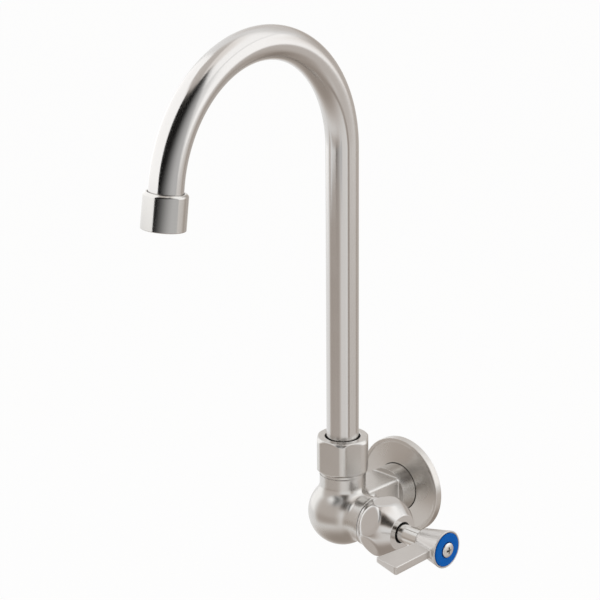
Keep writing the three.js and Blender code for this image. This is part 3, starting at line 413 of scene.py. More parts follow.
# %% The casting
BALL, NECK, BOSS = 20.5, 13.6, 13.8
ARM_HALF, ARM_TOP, ARM_ROUNDING = 10.5, 11.1, 1.7
COLLAR, COLLAR_EDGE, COLLAR_SHOULDER, COLLAR_START = 14.6, 0.5, 37.75, 38.7
DRESSED_TOP, DRESSED_CORNER, DRESSED_SIDE, DRESSED_FRONT = 9.0, 17.5, 3.0, 1.5
TOP_BLEND, FRONT_BLEND, SIDE_BLEND, DRESSED_EDGE = 1.0, 2.0, 4.0, 1.5
NECK_FILLET, BOSS_FILLET, ARM_FILLET, COLLAR_FILLET, COLLAR_BREAK = 2.4, 2.0, 2.0, 1.0, 0.3
ROUGH_ARM, CASTING_VOXEL = 41, 0.42


def casting_distance(p):
    """How far points are outside the casting's skin, in millimetres."""
    x, y, z = p.T
    ball = np.sqrt(x ** 2 + y ** 2 + z ** 2) - BALL
    flats = smaller(DRESSED_TOP - z, (DRESSED_CORNER - x - z) / math.sqrt(2), TOP_BLEND)
    dressed = larger(larger(flats, DRESSED_FRONT - y, FRONT_BLEND), -DRESSED_SIDE - x, SIDE_BLEND)
    ball = larger(ball, -dressed, DRESSED_EDGE)
    neck = np.maximum(np.hypot(x, y) - NECK, -z)
    boss = np.maximum(np.hypot(y, z) - BOSS, -x)
    square = larger(np.abs(x) - ARM_HALF, np.maximum(z - ARM_TOP, -z - ARM_HALF), ARM_ROUNDING)
    arm = np.maximum(square, -y)
    collar = larger(np.hypot(x, z) - (COLLAR - COLLAR_EDGE), COLLAR_SHOULDER - y, COLLAR_BREAK)
    core = smaller(smaller(ball, neck, NECK_FILLET), boss, BOSS_FILLET)
    return smaller(smaller(core, arm, ARM_FILLET), collar, COLLAR_FILLET)


seeds = bmesh.new()
for v in bmesh.ops.create_icosphere(seeds, subdivisions=5, radius=BALL)["verts"]:
    if v.co.y > 1 and v.co.x > -DRESSED_SIDE:
        v.co.z = min(v.co.z, DRESSED_TOP, max(0, DRESSED_CORNER - v.co.x))
for radius, length, middle, lay in (
        (NECK, 28, (0, 0, 14), Matrix.Identity(4)),
        (BOSS, 26, (13, 0, 0), LATHE_TO_X),
        (COLLAR - COLLAR_EDGE, 4.4, (0, 39.8, 0), Matrix.Rotation(math.pi / 2, 4, "X"))):
    bmesh.ops.create_cone(seeds, segments=96, cap_ends=True, radius1=radius, radius2=radius, depth=length,
                          matrix=Matrix.Translation(middle) @ lay)
rough_arm = Matrix.Diagonal((2 * ARM_HALF, ROUGH_ARM, 2 * ARM_HALF, 1))
bmesh.ops.create_cube(seeds, size=1, matrix=Matrix.Translation((0, ROUGH_ARM / 2, 0)) @ rough_arm)
casting = melt(seeds, CASTING_VOXEL, casting_distance)

# %% [markdown]
# The skin runs past each end of the casting on purpose. A plane then cuts it clean where the machined end
# begins, and the open rim is bridged to a smaller ring, whose wall goes down into the metal: the bore for
# the spout, the chamber for the valve, and the way in for the water.

# %% Cut the ends and open the bores
def verts_in(geom):
    return [item for item in geom if isinstance(item, bmesh.types.BMVert)]


def edges_in(geom):
    return [item for item in geom if isinstance(item, bmesh.types.BMEdge)]


def open_bore(bm, cut, direction, bore, depth, reach=30):
    """Cuts the skin within reach of an axis at a plane, and sinks a bore of that depth into it."""
    normal = Vector(direction)
    near = [f for f in bm.faces if f.calc_center_median().cross(normal).length < reach]
    edges, verts = {e for f in near for e in f.edges}, {v for f in near for v in f.verts}
    half = bmesh.ops.bisect_plane(bm, geom=near + list(edges) + list(verts), dist=1e-5,
                                  plane_co=normal * cut, plane_no=normal, clear_outer=True)
    rim = [e for e in edges_in(half["geom_cut"]) if e.is_boundary]
    lay = Matrix.Translation(normal * cut) @ normal.to_track_quat("Z", "Y").to_matrix().to_4x4()
    mouth = bmesh.ops.create_circle(bm, segments=96, radius=bore, matrix=lay)["verts"]
    ring = list({e for v in mouth for e in v.link_edges})
    bmesh.ops.bridge_loops(bm, edges=rim + ring)
    wall = bmesh.ops.extrude_edge_only(bm, edges=ring)["geom"]
    bmesh.ops.translate(bm, vec=-normal * depth, verts=verts_in(wall))
    bmesh.ops.contextual_create(bm, geom=edges_in(wall))


NECK_CUT, NECK_BORE, NECK_DEPTH = 24.05, 9.7, 1.95
BOSS_CUT, BOSS_BORE, BOSS_DEPTH = 22.4, 10.5, 17.4
INLET_BORE, INLET_DEPTH = 6.0, 24.0
open_bore(casting, NECK_CUT, (0, 0, 1), NECK_BORE, NECK_DEPTH)
open_bore(casting, BOSS_CUT, (1, 0, 0), BOSS_BORE, BOSS_DEPTH)
open_bore(casting, COLLAR_START, (0, 1, 0), INLET_BORE, INLET_DEPTH)
bmesh.ops.transform(casting, matrix=UPRIGHT, verts=casting.verts)
print("casting with its three bores,", len(casting.faces), "faces")

# %% [markdown]
# The machined ends are crisp, so they come from the lathe: the groove and thread of the neck, the raised
# lip of the boss, and the collar with the groove for its O-ring. The inlet has a real G 1/2 thread. Its
# crests are 1.814 mm apart, and each point of a finely turned cylinder moves in or out by where it stands
# on the helix.

# %% Neck, boss and collar
turn([
    (NECK_CUT, NECK_BORE, 0), (NECK_CUT, 13.0, 0), (24.65, 13.0, 0.1), (24.65, NECK, 0.2),
    (26.1, NECK, 0.2), (26.1, 12.4, 0), (37, 12.4, 0.6), (37, NECK_BORE, 0.3),
], UPRIGHT, bm=casting)
turn([
    (BOSS_CUT, BOSS_BORE, 0), (BOSS_CUT, 14.8, 0.3), (24.5, 14.8, 0.4), (24.5, BOSS_BORE, 0.1),
], ALONG_SPINDLE, bm=casting)
turn([
    (COLLAR_START, INLET_BORE, 0), (COLLAR_START, 13.5, 0), (37.7, 13.5, 0), (37.7, COLLAR, 0.12),
    (49.8, COLLAR, 0.15), (49.8, 12.8, 0), (51.9, 12.8, 0), (51.9, COLLAR, 0.1), (52.2, COLLAR, 0.1),
    (52.2, INLET_BORE, 0),
], ALONG_ARM, bm=casting)

THREAD_PITCH, THREAD_DEPTH, CREST = 1.814, 1.16, 10.48
THREAD_FOOT, THREAD_END = 52.0, 70.4
CHAMFER, CHAMFER_LENGTH = 0.5, 0.9
thread = turn([
    (THREAD_FOOT, INLET_BORE, 0), (THREAD_FOOT, CREST, 0), (THREAD_END, CREST, 0),
    (THREAD_END, INLET_BORE, 0.3),
], steps=96, spacing=0.18, beyond=CREST - 1)
for v in thread.verts:
    radius = math.hypot(v.co.x, v.co.y)
    if radius > CREST - 0.01:
        to_end = THREAD_END - v.co.z
        share = (v.co.z / THREAD_PITCH - math.atan2(v.co.y, v.co.x) / (2 * math.pi)) % 1
        run_out = min(1, to_end / THREAD_PITCH, (v.co.z - THREAD_FOOT) / THREAD_PITCH + 0.15)
        flank = min(1, max(0, 1.25 * abs(2 * share - 1) - 0.125))
        depth = THREAD_DEPTH * (1 - flank) * run_out + CHAMFER * max(0, 1 - to_end / CHAMFER_LENGTH)
        v.co.xy *= (radius - depth) / radius
bmesh.ops.transform(thread, matrix=ALONG_ARM, verts=thread.verts)
join_into(casting, thread)
finish_piece(casting, "body_casting", "tap_body", "brushed_stainless", cast_steel, "valve_body")

# %% [markdown]
# ## The union nut
#
# The nut was turned from a bar and then had six flats milled on it. It is made in the same order: a
# turned blank with a chamfer at each end, and then every point that stands outside a flat is pressed onto
# it. The step from flat to round is softened, as a polishing wheel does.

# %% Mill six flats
def mill_flats(bm, apothem, first_corner, soft):
    """Presses a blank that stands along Z onto the six flats of a hexagon."""
    for v in bm.verts:
        radius = math.hypot(v.co.x, v.co.y)
        if radius < 1:
            continue
        off_flat = (math.degrees(math.atan2(v.co.y, v.co.x)) - first_corner) % 60 - 30
        flat = apothem / math.cos(math.radians(off_flat))
        v.co.xy *= float(smaller(np.float64(radius), flat, soft)) / radius


nut = turn([
    (43.4, 10.4, 0), (43.4, 12.7, 0), (26.4, 12.7, 0.3), (26.4, 14.6, 0.3), (27.8, 16.0, 0.3),
    (45.7, 16.0, 0.4), (47.5, 14.6, 0.5), (47.5, 10.4, 0.5),
], steps=360, spacing=0.35, beyond=13)
NUT_APOTHEM, NUT_CORNER, NUT_SOFT = 14.8, -50.5, 0.6
mill_flats(nut, NUT_APOTHEM, NUT_CORNER, NUT_SOFT)
bmesh.ops.transform(nut, matrix=UPRIGHT, verts=nut.verts)
finish_piece(nut, "union_nut", "tap_body", "brushed_stainless", nut_steel, "swivel_nut")

finish_piece(turn([
    (44.8, 9.85, 0.2), (44.8, 11.3, 0.2), (46.1, 11.3, 0.2), (46.1, 9.85, 0.2),
], UPRIGHT), "tube_wiper", "tap_body", "black_rubber", rubber, "nut_wiper_ring")

# %% [markdown]
# ## The spout
#
# The gooseneck is a 3/4 inch tube bent round a former. It starts as a circle, is drawn straight up the
# riser, spun through the arch, and drawn on into the nozzle. Solidify gives the skin its wall. The
# polishing marks follow the bend, so a UV map counts lengths round the tube and along it, and the
# material reads that instead of the object's own axes.

# %% Bend the tube
TUBE_RADIUS, TUBE_WALL, TUBE_FOOT, TUBE_IN_NOZZLE = 9.47, 1.2, 40.1, 9.8
RISER_STEPS, ARCH_STEPS = 24, 150


def draw_on(bm, front, way):
    """Draws the open edges out by way, and gives the new ones."""
    grown = bmesh.ops.extrude_edge_only(bm, edges=front)["geom"]
    bmesh.ops.translate(bm, vec=way, verts=verts_in(grown))
    return edges_in(grown)


tube = bmesh.new()
foot = bmesh.ops.create_circle(tube, segments=96, radius=TUBE_RADIUS,
                               matrix=Matrix.Translation((0, 0, TUBE_FOOT)))
front = list({e for v in foot["verts"] for e in v.link_edges})
for _ in range(RISER_STEPS):
    front = draw_on(tube, front, (0, 0, (ARCH_HEIGHT - TUBE_FOOT) / RISER_STEPS))
bent = bmesh.ops.spin(tube, geom=front, cent=(0, -ARCH_RADIUS, ARCH_HEIGHT), axis=(1, 0, 0), dvec=(0, 0, 0),
                      angle=ARCH_SWEEP, steps=ARCH_STEPS, use_merge=False, use_duplicate=False)["geom_last"]
draw_on(tube, edges_in(bent), Matrix.Rotation(ARCH_SWEEP, 3, "X") @ Vector((0, 0, TUBE_IN_NOZZLE)))
print("bent tube,", len(tube.faces), "faces")

# %% [markdown]
# The UV map is worked out from where each corner stands: on the riser its height tells how far along it
# is, and on the arch its angle round the former does.

# %% Lay the map on it
uv = tube.loops.layers.uv.new("round_and_along")
for face in tube.faces:
    for loop in face.loops:
        x, y, z = loop.vert.co
        on_arch = z > ARCH_HEIGHT or y < -ARCH_RADIUS
        swept = math.atan2(z - ARCH_HEIGHT, y + ARCH_RADIUS) if on_arch else 0
        swept = swept + 2 * math.pi if swept < -0.5 else swept
        outward = math.hypot(z - ARCH_HEIGHT, y + ARCH_RADIUS) - ARCH_RADIUS if swept else y
        along = z if not swept else ARCH_HEIGHT + ARCH_RADIUS * swept
        around = math.atan2(x, outward)
        if around < -3.1 and face.calc_center_median().x > 0:
            around += 2 * math.pi
        loop[uv].uv = (around * TUBE_RADIUS * MM, along * MM)
bmesh.ops.recalc_face_normals(tube, faces=tube.faces)
bmesh.ops.solidify(tube, geom=tube.faces[:], thickness=TUBE_WALL)
bmesh.ops.transform(tube, matrix=SPOUT, verts=tube.verts)
finish_piece(tube, "gooseneck_tube", "spout", "brushed_stainless", tube_steel, "spout_tube")

# %% [markdown]
# ## The nozzle
#
# A turned sleeve on the end of the tube holds the aerator, which mixes air into the water so that it
# falls in a soft stream. Its outer rim is grey plastic, and inside it a honeycomb straightens the flow.
# The honeycomb and the mesh above it keep their CAD shapes, which have every cell.

# %% Nozzle and aerator shell
finish_piece(turn([
    (3.8, 9.825, 0.2), (3.8, 11.0, 0.4), (5.0, 12.16, 0.5), (23.5, 12.16, 0.5), (23.5, 10.9, 0.3),
    (11.3, 10.9, 0), (11.3, 8.325, 0), (10.1, 8.325, 0), (10.1, 9.825, 0),
], SPOUT_END, steps=200), "nozzle_sleeve", "spout", "brushed_stainless", nozzle_steel, "nozzle_collar")

finish_piece(turn([
    (13.4, 0, 0), (13.4, 10.6, 0.3), (22.7, 10.6, 0.3), (22.7, 8.4, 0.3), (21.9, 8.4, 0), (21.9, 9.2, 0),
    (14.6, 9.2, 0), (14.6, 0, 0),
], SPOUT_END, closed=False), "aerator_shell", "spout", "grey_plastic", acetal, "aerator_body")

# %% [markdown]
# ## The bonnet
#
# The bonnet screws into the boss and holds the valve down. It is barrel-shaped, and six flats for a
# wrench are milled across the barrel. A flat on a round barrel shows as an oval. It is the nut's method
# again, on a curved outline.

# %% Barrel with six ovals
BARREL_SEAT, BARREL_FOOT, BARREL_PEAK, BARREL_NOSE, BARREL_END = 25.05, 26.6, 33.8, 47.0, 47.4
FOOT_RADIUS, NOSE_RADIUS, FOOT_SWELL, NOSE_SWELL = 15.3, 10.9, 3.0, 7.4
SHANK_INSIDE, SHANK_OUTSIDE, WINDOW_FOOT, WINDOW_TOP = 8, 9.2, 14.5, 18.3
barrel = [(BARREL_SEAT, 10.2, 0), (BARREL_SEAT, 15.2, 0.4), (BARREL_FOOT, FOOT_RADIUS, 0)]
for share in (i / 10 for i in range(1, 11)):
    barrel.append((BARREL_FOOT + (BARREL_PEAK - BARREL_FOOT) * share,
                   FOOT_RADIUS + FOOT_SWELL * math.sin(share * math.pi / 2), 0))
for share in (i / 18 for i in range(1, 19)):
    barrel.append((BARREL_PEAK + (BARREL_NOSE - BARREL_PEAK) * share,
                   NOSE_RADIUS + NOSE_SWELL * math.cos(share * math.pi / 2), 0))
barrel += [(BARREL_END, 10.5, 0.2), (BARREL_END, 6.4, 0.2), (45.4, 6.4, 0), (45.4, 5.7, 0), (19.6, 5.7, 0),
           (19.6, SHANK_INSIDE, 0), (WINDOW_TOP, SHANK_INSIDE, 0), (WINDOW_TOP, SHANK_OUTSIDE, 0),
           (19, SHANK_OUTSIDE, 0), (19, 10.2, 0)]
bonnet = turn(barrel, steps=360, spacing=0.35, beyond=10.4)
BONNET_APOTHEM, BONNET_CORNER, BONNET_SOFT = 16.0, 30.0, 0.9
mill_flats(bonnet, BONNET_APOTHEM, BONNET_CORNER, BONNET_SOFT)
print("barrel,", len(bonnet.faces), "faces")

# %% [markdown]
# Behind the barrel, the shank reaches in to the ceramic discs. Two windows in it let the spindle's drive
# bar turn a quarter of a turn, and their ends are the stops that the hand feels. The ring and the two
# posts between the windows are turned too, the posts only through part of a circle.

# %% Shank and posts
POST_STARTS, POST_SWEEP = (110.2, 290.2), 49.5
turn([
    (5.8, SHANK_INSIDE, 0.2), (5.8, SHANK_OUTSIDE, 0.2), (WINDOW_FOOT, SHANK_OUTSIDE, 0),
    (WINDOW_FOOT, SHANK_INSIDE, 0),
], bm=bonnet)
for start in POST_STARTS:
    post = bmesh.new()
    wall = [post.verts.new((radius, 0, height)) for radius, height in (
        (SHANK_INSIDE, WINDOW_FOOT), (SHANK_OUTSIDE, WINDOW_FOOT), (SHANK_OUTSIDE, WINDOW_TOP),
        (SHANK_INSIDE, WINDOW_TOP))]
    section = post.faces.new(wall)
    spin_up(post, [section], POST_SWEEP, 12)
    bmesh.ops.transform(post, matrix=Matrix.Rotation(math.radians(start), 4, "Z"), verts=post.verts)
    join_into(bonnet, post)
bmesh.ops.transform(bonnet, matrix=ALONG_SPINDLE, verts=bonnet.verts)
finish_piece(bonnet, "barrel_bonnet", "tap_body", "brushed_stainless", bonnet_steel, "bonnet")

finish_piece(turn([
    (24.55, 10.5, 0.1), (24.55, 14.5, 0.15), (25.0, 14.5, 0.15), (25.0, 10.5, 0.1),
], ALONG_SPINDLE), "bonnet_seat_ring", "tap_body", "black_rubber", rubber, "bonnet_gasket")

finish_piece(turn([
    (45.7, 5.75, 0.1), (45.7, 6.3, 0.1), (47.1, 6.3, 0.2), (47.1, 5.75, 0.2),
], ALONG_SPINDLE), "gland_seal", "tap_body", "black_rubber", rubber, "gland_ring")

# %% [markdown]
# ## The spindle
#
# The spindle is a turned shaft. At its inner end a flat bar sits in a slot of the moving ceramic disc,
# two grooves hold its O-rings, and a small spline at its outer end carries the lever.

# %% Shaft, drive bar and spline
DRIVE_BAR, DISC_KEY = ((17.4, 5, 3.2), 16.4), ((13.4, 5, 1.2), 14.2)
SPLINE_RADIUS, SPLINE_LENGTH, SPLINE_MIDDLE, SPLINE_POINTS, VALLEY = 4, 12, 67.9, 48, 0.89
shaft = turn([
    (14.8, 0, 0), (14.8, 5.4, 0.2), (22.75, 5.4, 0.1), (22.75, 3.8, 0), (24.85, 3.8, 0), (24.85, 5.4, 0.1),
    (27.75, 5.4, 0.1), (27.75, 3.8, 0), (29.85, 3.8, 0), (29.85, 5.4, 0.1), (62, 5.4, 0.4), (62, 0, 0),
], closed=False)
for size, height in (DRIVE_BAR, DISC_KEY):
    bar = bmesh.new()
    lay = Matrix.Translation((0, 0, height)) @ Matrix.Diagonal((*size, 1))
    bmesh.ops.create_cube(bar, size=1, matrix=lay)
    bmesh.ops.bevel(bar, geom=bar.edges[:], offset=0.2, affect="EDGES", segments=2, profile=0.5, material=-1)
    join_into(shaft, bar)
spline = bmesh.new()
bmesh.ops.create_cone(spline, segments=SPLINE_POINTS, cap_ends=True, depth=SPLINE_LENGTH,
                      radius1=SPLINE_RADIUS, radius2=SPLINE_RADIUS,
                      matrix=Matrix.Translation((0, 0, SPLINE_MIDDLE)))
for v in spline.verts:
    if round(math.atan2(v.co.y, v.co.x) / (2 * math.pi) * SPLINE_POINTS) % 4 > 1:
        v.co.xy *= VALLEY
join_into(shaft, spline)
bmesh.ops.transform(shaft, matrix=ALONG_SPINDLE, verts=shaft.verts)
finish_piece(shaft, "valve_spindle", "handle", "turned_stainless", spindle_steel, "spindle")

# %% [markdown]
# ## The lever
#
# The lever is one piece of steel: a tapered hub, and a flat plate that widens to its tip and thins
# towards its inner edge. A small fillet joins the two, so it is melted together as the casting was. The
# plate is the space inside six planes, and the same rounding that blends them breaks its edges.

# %% Hub and plate
HUB_FRONT_CUT, HUB_BACK_CUT = 80.4, 64.5
HUB_FOOT, HUB_FOOT_RADIUS, HUB_RIM, HUB_RIM_RADIUS = 64.3, 7.6, 80.9, 11.2
TAPER_COSINE = 0.977
TIP_FRONT, ROOT_FRONT, ROOT_BACK, TIP_BACK = (79.6, -41.6), (77.7, 0), (66.1, 0), (62.2, -39.3)
PLATE_HALF, PLATE_END = 2.5, 3
UNDERSIDE = math.atan2(5 - 2.6, 17.4)
LONG_EDGE, TIP_EDGE, FACE_EDGE, CRISP, PLATE_FILLET = 1.0, 1.8, 0.6, 0.3, 1.8
LEVER_VOXEL = 0.3


def hub_radius(x):
    """The radius to which the hub has widened at x."""
    return HUB_FOOT_RADIUS + (x - HUB_FOOT) * (HUB_RIM_RADIUS - HUB_FOOT_RADIUS) / (HUB_RIM - HUB_FOOT)


def left_of(p, start, end):
    """How far points lie to the left of a line in the X-Y plane."""
    run = Vector(end) - Vector(start)
    side = Vector((-run.y, run.x)).normalized()
    return (p[:, 0] - start[0]) * side.x + (p[:, 1] - start[1]) * side.y


def lever_distance(p):
    """How far points are outside the lever's skin, in millimetres."""
    x, y, z = p.T
    hub = (np.hypot(y, z) - hub_radius(x)) * TAPER_COSINE
    front = -left_of(p, TIP_FRONT, ROOT_FRONT)
    back = left_of(p, TIP_BACK, ROOT_BACK)
    tip = left_of(p, TIP_FRONT, TIP_BACK)
    plan = larger(larger(front, back, LONG_EDGE), tip, TIP_EDGE)
    under = (TIP_FRONT[0] - x) * math.sin(UNDERSIDE) - (z + PLATE_HALF) * math.cos(UNDERSIDE)
    faces = larger(z - PLATE_HALF, under, CRISP)
    plate = larger(larger(plan, faces, FACE_EDGE), y - PLATE_END, CRISP)
    return smaller(hub, plate, PLATE_FILLET)


seeds = bmesh.new()
bmesh.ops.create_cone(seeds, segments=96, cap_ends=True, radius1=float(hub_radius(63)), depth=19,
                      radius2=float(hub_radius(82)), matrix=Matrix.Translation((72.5, 0, 0)) @ LATHE_TO_X)
plan = [seeds.verts.new((x, y, PLATE_HALF)) for x, y in (TIP_FRONT, ROOT_FRONT, ROOT_BACK, TIP_BACK)]
top = seeds.faces.new(plan)
for v in verts_in(bmesh.ops.extrude_face_region(seeds, geom=[top])["geom"]):
    v.co.z = -PLATE_HALF + (TIP_FRONT[0] - v.co.x) * math.tan(UNDERSIDE)
bmesh.ops.recalc_face_normals(seeds, faces=seeds.faces)
lever = melt(seeds, LEVER_VOXEL, lever_distance)

# %% [markdown]
# Both ends of the hub are cut clean as well. The front gets the shallow dish for the blue disc, with a
# thin turned rim round it, and the back gets the socket for the spline, with a rounded shoulder.

# %% Dish, rim and socket
DISH, DISH_DEPTH, SOCKET, SOCKET_DEPTH = 10.2, 0.6, 4.3, 9.8
open_bore(lever, HUB_FRONT_CUT, (1, 0, 0), DISH, DISH_DEPTH)
open_bore(lever, -HUB_BACK_CUT, (-1, 0, 0), SOCKET, SOCKET_DEPTH, reach=12)
# Both rings stand just beside the cut's own circles, so that no points of the two are merged.
turn([
    (HUB_FRONT_CUT, 10.25, 0), (HUB_FRONT_CUT, 11.05, 0), (HUB_RIM, HUB_RIM_RADIUS, 0.15),
    (81.2, 10.95, 0.15), (81.2, DISH, 0.15),
], LATHE_TO_X, bm=lever)
turn([
    (HUB_BACK_CUT, 4.35, 0), (HUB_BACK_CUT, HUB_FOOT_RADIUS, 0), (HUB_FOOT, HUB_FOOT_RADIUS, 0),
    (62.3, HUB_FOOT_RADIUS, 1.95), (62.3, SOCKET, 0.2),
], LATHE_TO_X, bm=lever)
bmesh.ops.transform(lever, matrix=UPRIGHT, verts=lever.verts)
finish_piece(lever, "lever_and_hub", "handle", "brushed_stainless", lever_steel, "lever_handle")

# %% [markdown]
# ## The blue disc and its screw
#
# The disc tells that this is the cold tap. It drops into the dish with a hair of clearance, and its edge
# is rounded where the enamel has drawn back. A domed screw with a cross recess holds it and the lever. A
# Boolean takes the cross out of the head with two small wedges.

# %% Disc
finish_piece(turn([
    (80.1, 4.75, 0), (80.1, 9.9, 0.2), (81.65, 9.9, 0.4), (81.8, 8.6, 1.0), (81.8, 4.75, 0.3),
], ALONG_SPINDLE), "blue_disc", "handle", "blue_enamel", enamel, "index_disc")


# %% Screw
def carve(bm, cutter):
    """The bmesh with the cutter taken out of it."""
    pair = [new_object("carving", mesh_from(part, "carving")) for part in (bm, cutter)]
    cut = pair[0].modifiers.new("cut", "BOOLEAN")
    cut.object, cut.operation, cut.solver = pair[1], "DIFFERENCE", "EXACT"
    carved = modified_mesh(pair[0])
    result = bmesh.new()
    result.from_mesh(carved)
    bpy.data.meshes.remove(carved)
    for leftover in pair:
        bpy.data.objects.remove(leftover)
    return result


HEAD_RADIUS, HEAD_EDGE, DOME = 4.45, 82.2, 0.95
PUNCH, PUNCH_TAPER, PUNCH_MIDDLE = (5.8, 1.6, 4.6), 0.45, 83
head = [(68.1, 0, 0), (68.1, 1.9, 0.3), (80.1, 1.9, 0), (80.1, HEAD_RADIUS, 0.2),
        (HEAD_EDGE, HEAD_RADIUS, 0.2)]
for climb in range(15, 91, 5):
    angle = math.radians(climb)
    head.append((HEAD_EDGE + DOME * math.sin(angle), HEAD_RADIUS * math.cos(angle), 0))
screw = turn(head, steps=96, closed=False)
for turned in (0, 90):
    punch = bmesh.new()
    lay = Matrix.Rotation(math.radians(turned), 4, "Z") @ Matrix.Translation((0, 0, PUNCH_MIDDLE))
    wedge = bmesh.ops.create_cube(punch, size=1, matrix=lay @ Matrix.Diagonal((*PUNCH, 1)))["verts"]
    tip = [v for v in wedge if v.co.z < PUNCH_MIDDLE]
    bmesh.ops.scale(punch, vec=(PUNCH_TAPER, PUNCH_TAPER, 1), verts=tip)
    screw = carve(screw, punch)
bmesh.ops.transform(screw, matrix=ALONG_SPINDLE, verts=screw.verts)
finish_piece(screw, "cross_screw", "handle", "turned_stainless", screw_steel, "handle_screw")

# %% [markdown]
# ## The pieces that stay as they are
#
# The washers, O-rings, ceramic discs, mesh and honeycomb keep their CAD shapes. Most show only when
# someone takes the tap apart or looks up into the nozzle, but each gets the material that it would be
# made of.

# %% Finishes for the CAD nodes
tail_steel = stainless("stainless_304_turned_tail", "#d2cdc7", 0.24, 0.002, UPRIGHT, 0.5)
mesh_steel = stainless("stainless_304_fine_mesh", "#aaa6a1", 0.34, 0.005)
finishes = {
    rubber: ["flange_o_ring", "seat_seal", "spindle_o_ring_1", "spindle_o_ring_2", "tail_o_ring_1",
             "tail_o_ring_2", "aerator_washer"],
    nylon: ["spout_thrust_washer", "spindle_thrust_washer"],
    ceramic: ["fixed_ceramic_disc", "moving_ceramic_disc"],
    acetal: ["flow_straightener"],
    tail_steel: ["spout_tail"],
    mesh_steel: ["aerator_screen"],
}
for material, names in finishes.items():
    for name in names:
        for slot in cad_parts[name].material_slots:
            slot.material = material
print(sum(len(names) for names in finishes.values()), "CAD nodes keep their shape")

# %% [markdown]
# ## The studio
#
# Polished metal has hardly any colour of its own: what the eye reads as its shape is what it mirrors.
# Taps are photographed in a white tent with a few grey gaps, so that each curve gets a bright side, a
# grey side and one thin dark line. The world is that tent. The camera sees it white all over. In
# reflections it has soft upright patches, each given by its compass bearing, its half width and soft edge
# in degrees, its brightness, and the heights between which it stands, as the sine of the angle above the
# horizon. Bearings are counted from straight in front of the tap towards the lever.

# %% A white tent with grey gaps
PATCHES = [
    (-12, 40, 12, 0.64, -0.50, 0.88),
    (-16, 36, 12, 0.75, -0.44, -0.12),
    (45, 25, 14, 0.90, -0.70, -0.08),
    (52, 18, 8, 0.03, 0.38, 0.88),
    (88, 5, 4, 0.45, -0.85, 0.30),
    (130, 38, 10, 0.70, -0.62, -0.22),
    (186, 28, 14, 0.62, -0.80, 0.26),
    (-155, 24, 12, 0.80, 0.10, 0.60),
    (165, 40, 14, 0.70, -0.80, -0.62),
]
# How much of the light is left straight below and straight above, and how softly a patch starts upwards.
DEEP, HIGH, UPWARD_EDGE = 0.42, 0.70, 0.1
scene = bpy.context.scene
world = bpy.data.worlds.new("white_tent")
scene.world = world
world.use_nodes = True
sky = world.node_tree
sky.nodes.clear()
look = add_node(sky, "ShaderNodeSeparateXYZ", {0: add_node(sky, "ShaderNodeTexCoord").outputs["Generated"]})
climb = look.outputs["Z"]
level = add_node(sky, "ShaderNodeCombineXYZ", {0: look.outputs["X"], 1: look.outputs["Y"]})
compass = add_node(sky, "ShaderNodeVectorMath", {0: level.outputs[0]}, operation="NORMALIZE")
shade = 1.0
for start, stop, at_start, at_stop in ((-0.97, -0.5, DEEP, 1.0), (0.8, 0.95, 1.0, HIGH)):
    fade = add_node(sky, "ShaderNodeMapRange", {
        "Value": climb, "From Min": start, "From Max": stop, "To Min": at_start, "To Max": at_stop},
        interpolation_type="SMOOTHSTEP")
    shade = add_node(sky, "ShaderNodeMath", {0: shade, 1: fade.outputs[0]}, operation="MULTIPLY").outputs[0]
for bearing, half, edge, brightness, low, top in PATCHES:
    aim = (math.sin(math.radians(bearing)), -math.cos(math.radians(bearing)), 0)
    facing = add_node(sky, "ShaderNodeVectorMath", {0: compass.outputs[0], 1: aim}, operation="DOT_PRODUCT")
    outside, inside = math.radians(half + edge), math.radians(max(half - edge, 0))
    limits = [(facing.outputs["Value"], math.cos(outside), math.cos(inside)),
              (climb, low - UPWARD_EDGE, low + UPWARD_EDGE), (climb, top + UPWARD_EDGE, top - UPWARD_EDGE)]
    patch = brightness - 1
    for value, start, full in limits:
        step = add_node(sky, "ShaderNodeMapRange", {
            "Value": value, "From Min": start, "From Max": full}, interpolation_type="SMOOTHSTEP")
        patch = add_node(sky, "ShaderNodeMath", {
            0: step.outputs[0], 1: patch}, operation="MULTIPLY").outputs[0]
    dim = add_node(sky, "ShaderNodeMath", {0: patch, 1: 1.0}, operation="ADD")
    shade = add_node(sky, "ShaderNodeMath", {0: shade, 1: dim.outputs[0]}, operation="MULTIPLY").outputs[0]
# The darker a patch is, the warmer it is.
ray = add_node(sky, "ShaderNodeLightPath")
warmth = add_node(sky, "ShaderNodeMix", {
    0: shade, 6: hex_colour("#ffe5cd"), 7: (1, 1, 1, 1)}, data_type="RGBA")
seen = add_node(sky, "ShaderNodeMix", {0: ray.outputs["Is Camera Ray"], 2: shade, 3: 1.0})
tint = add_node(sky, "ShaderNodeMix", {
    0: ray.outputs["Is Camera Ray"], 6: warmth.outputs[2], 7: (1, 1, 1, 1)}, data_type="RGBA")
glow = add_node(sky, "ShaderNodeBackground", {"Color": tint.outputs[2], "Strength": seen.outputs[0]})
add_node(sky, "ShaderNodeOutputWorld", {"Surface": glow.outputs[0]})

# %% [markdown]
# Two curved cards stand close round the nozzle, above the height of the valve: a white one on the left,
# and a black one in front, which turns grey towards its lower right. They give the bent tube its bright
# flank and the dark line beside it. Only reflections see them.

# %% Two cards round the nozzle
CARD_CENTRE, CARD_REACH, CARD_FOOT, CARD_HEAD = Vector((10.3, -197, 0)), 100, 150, 520


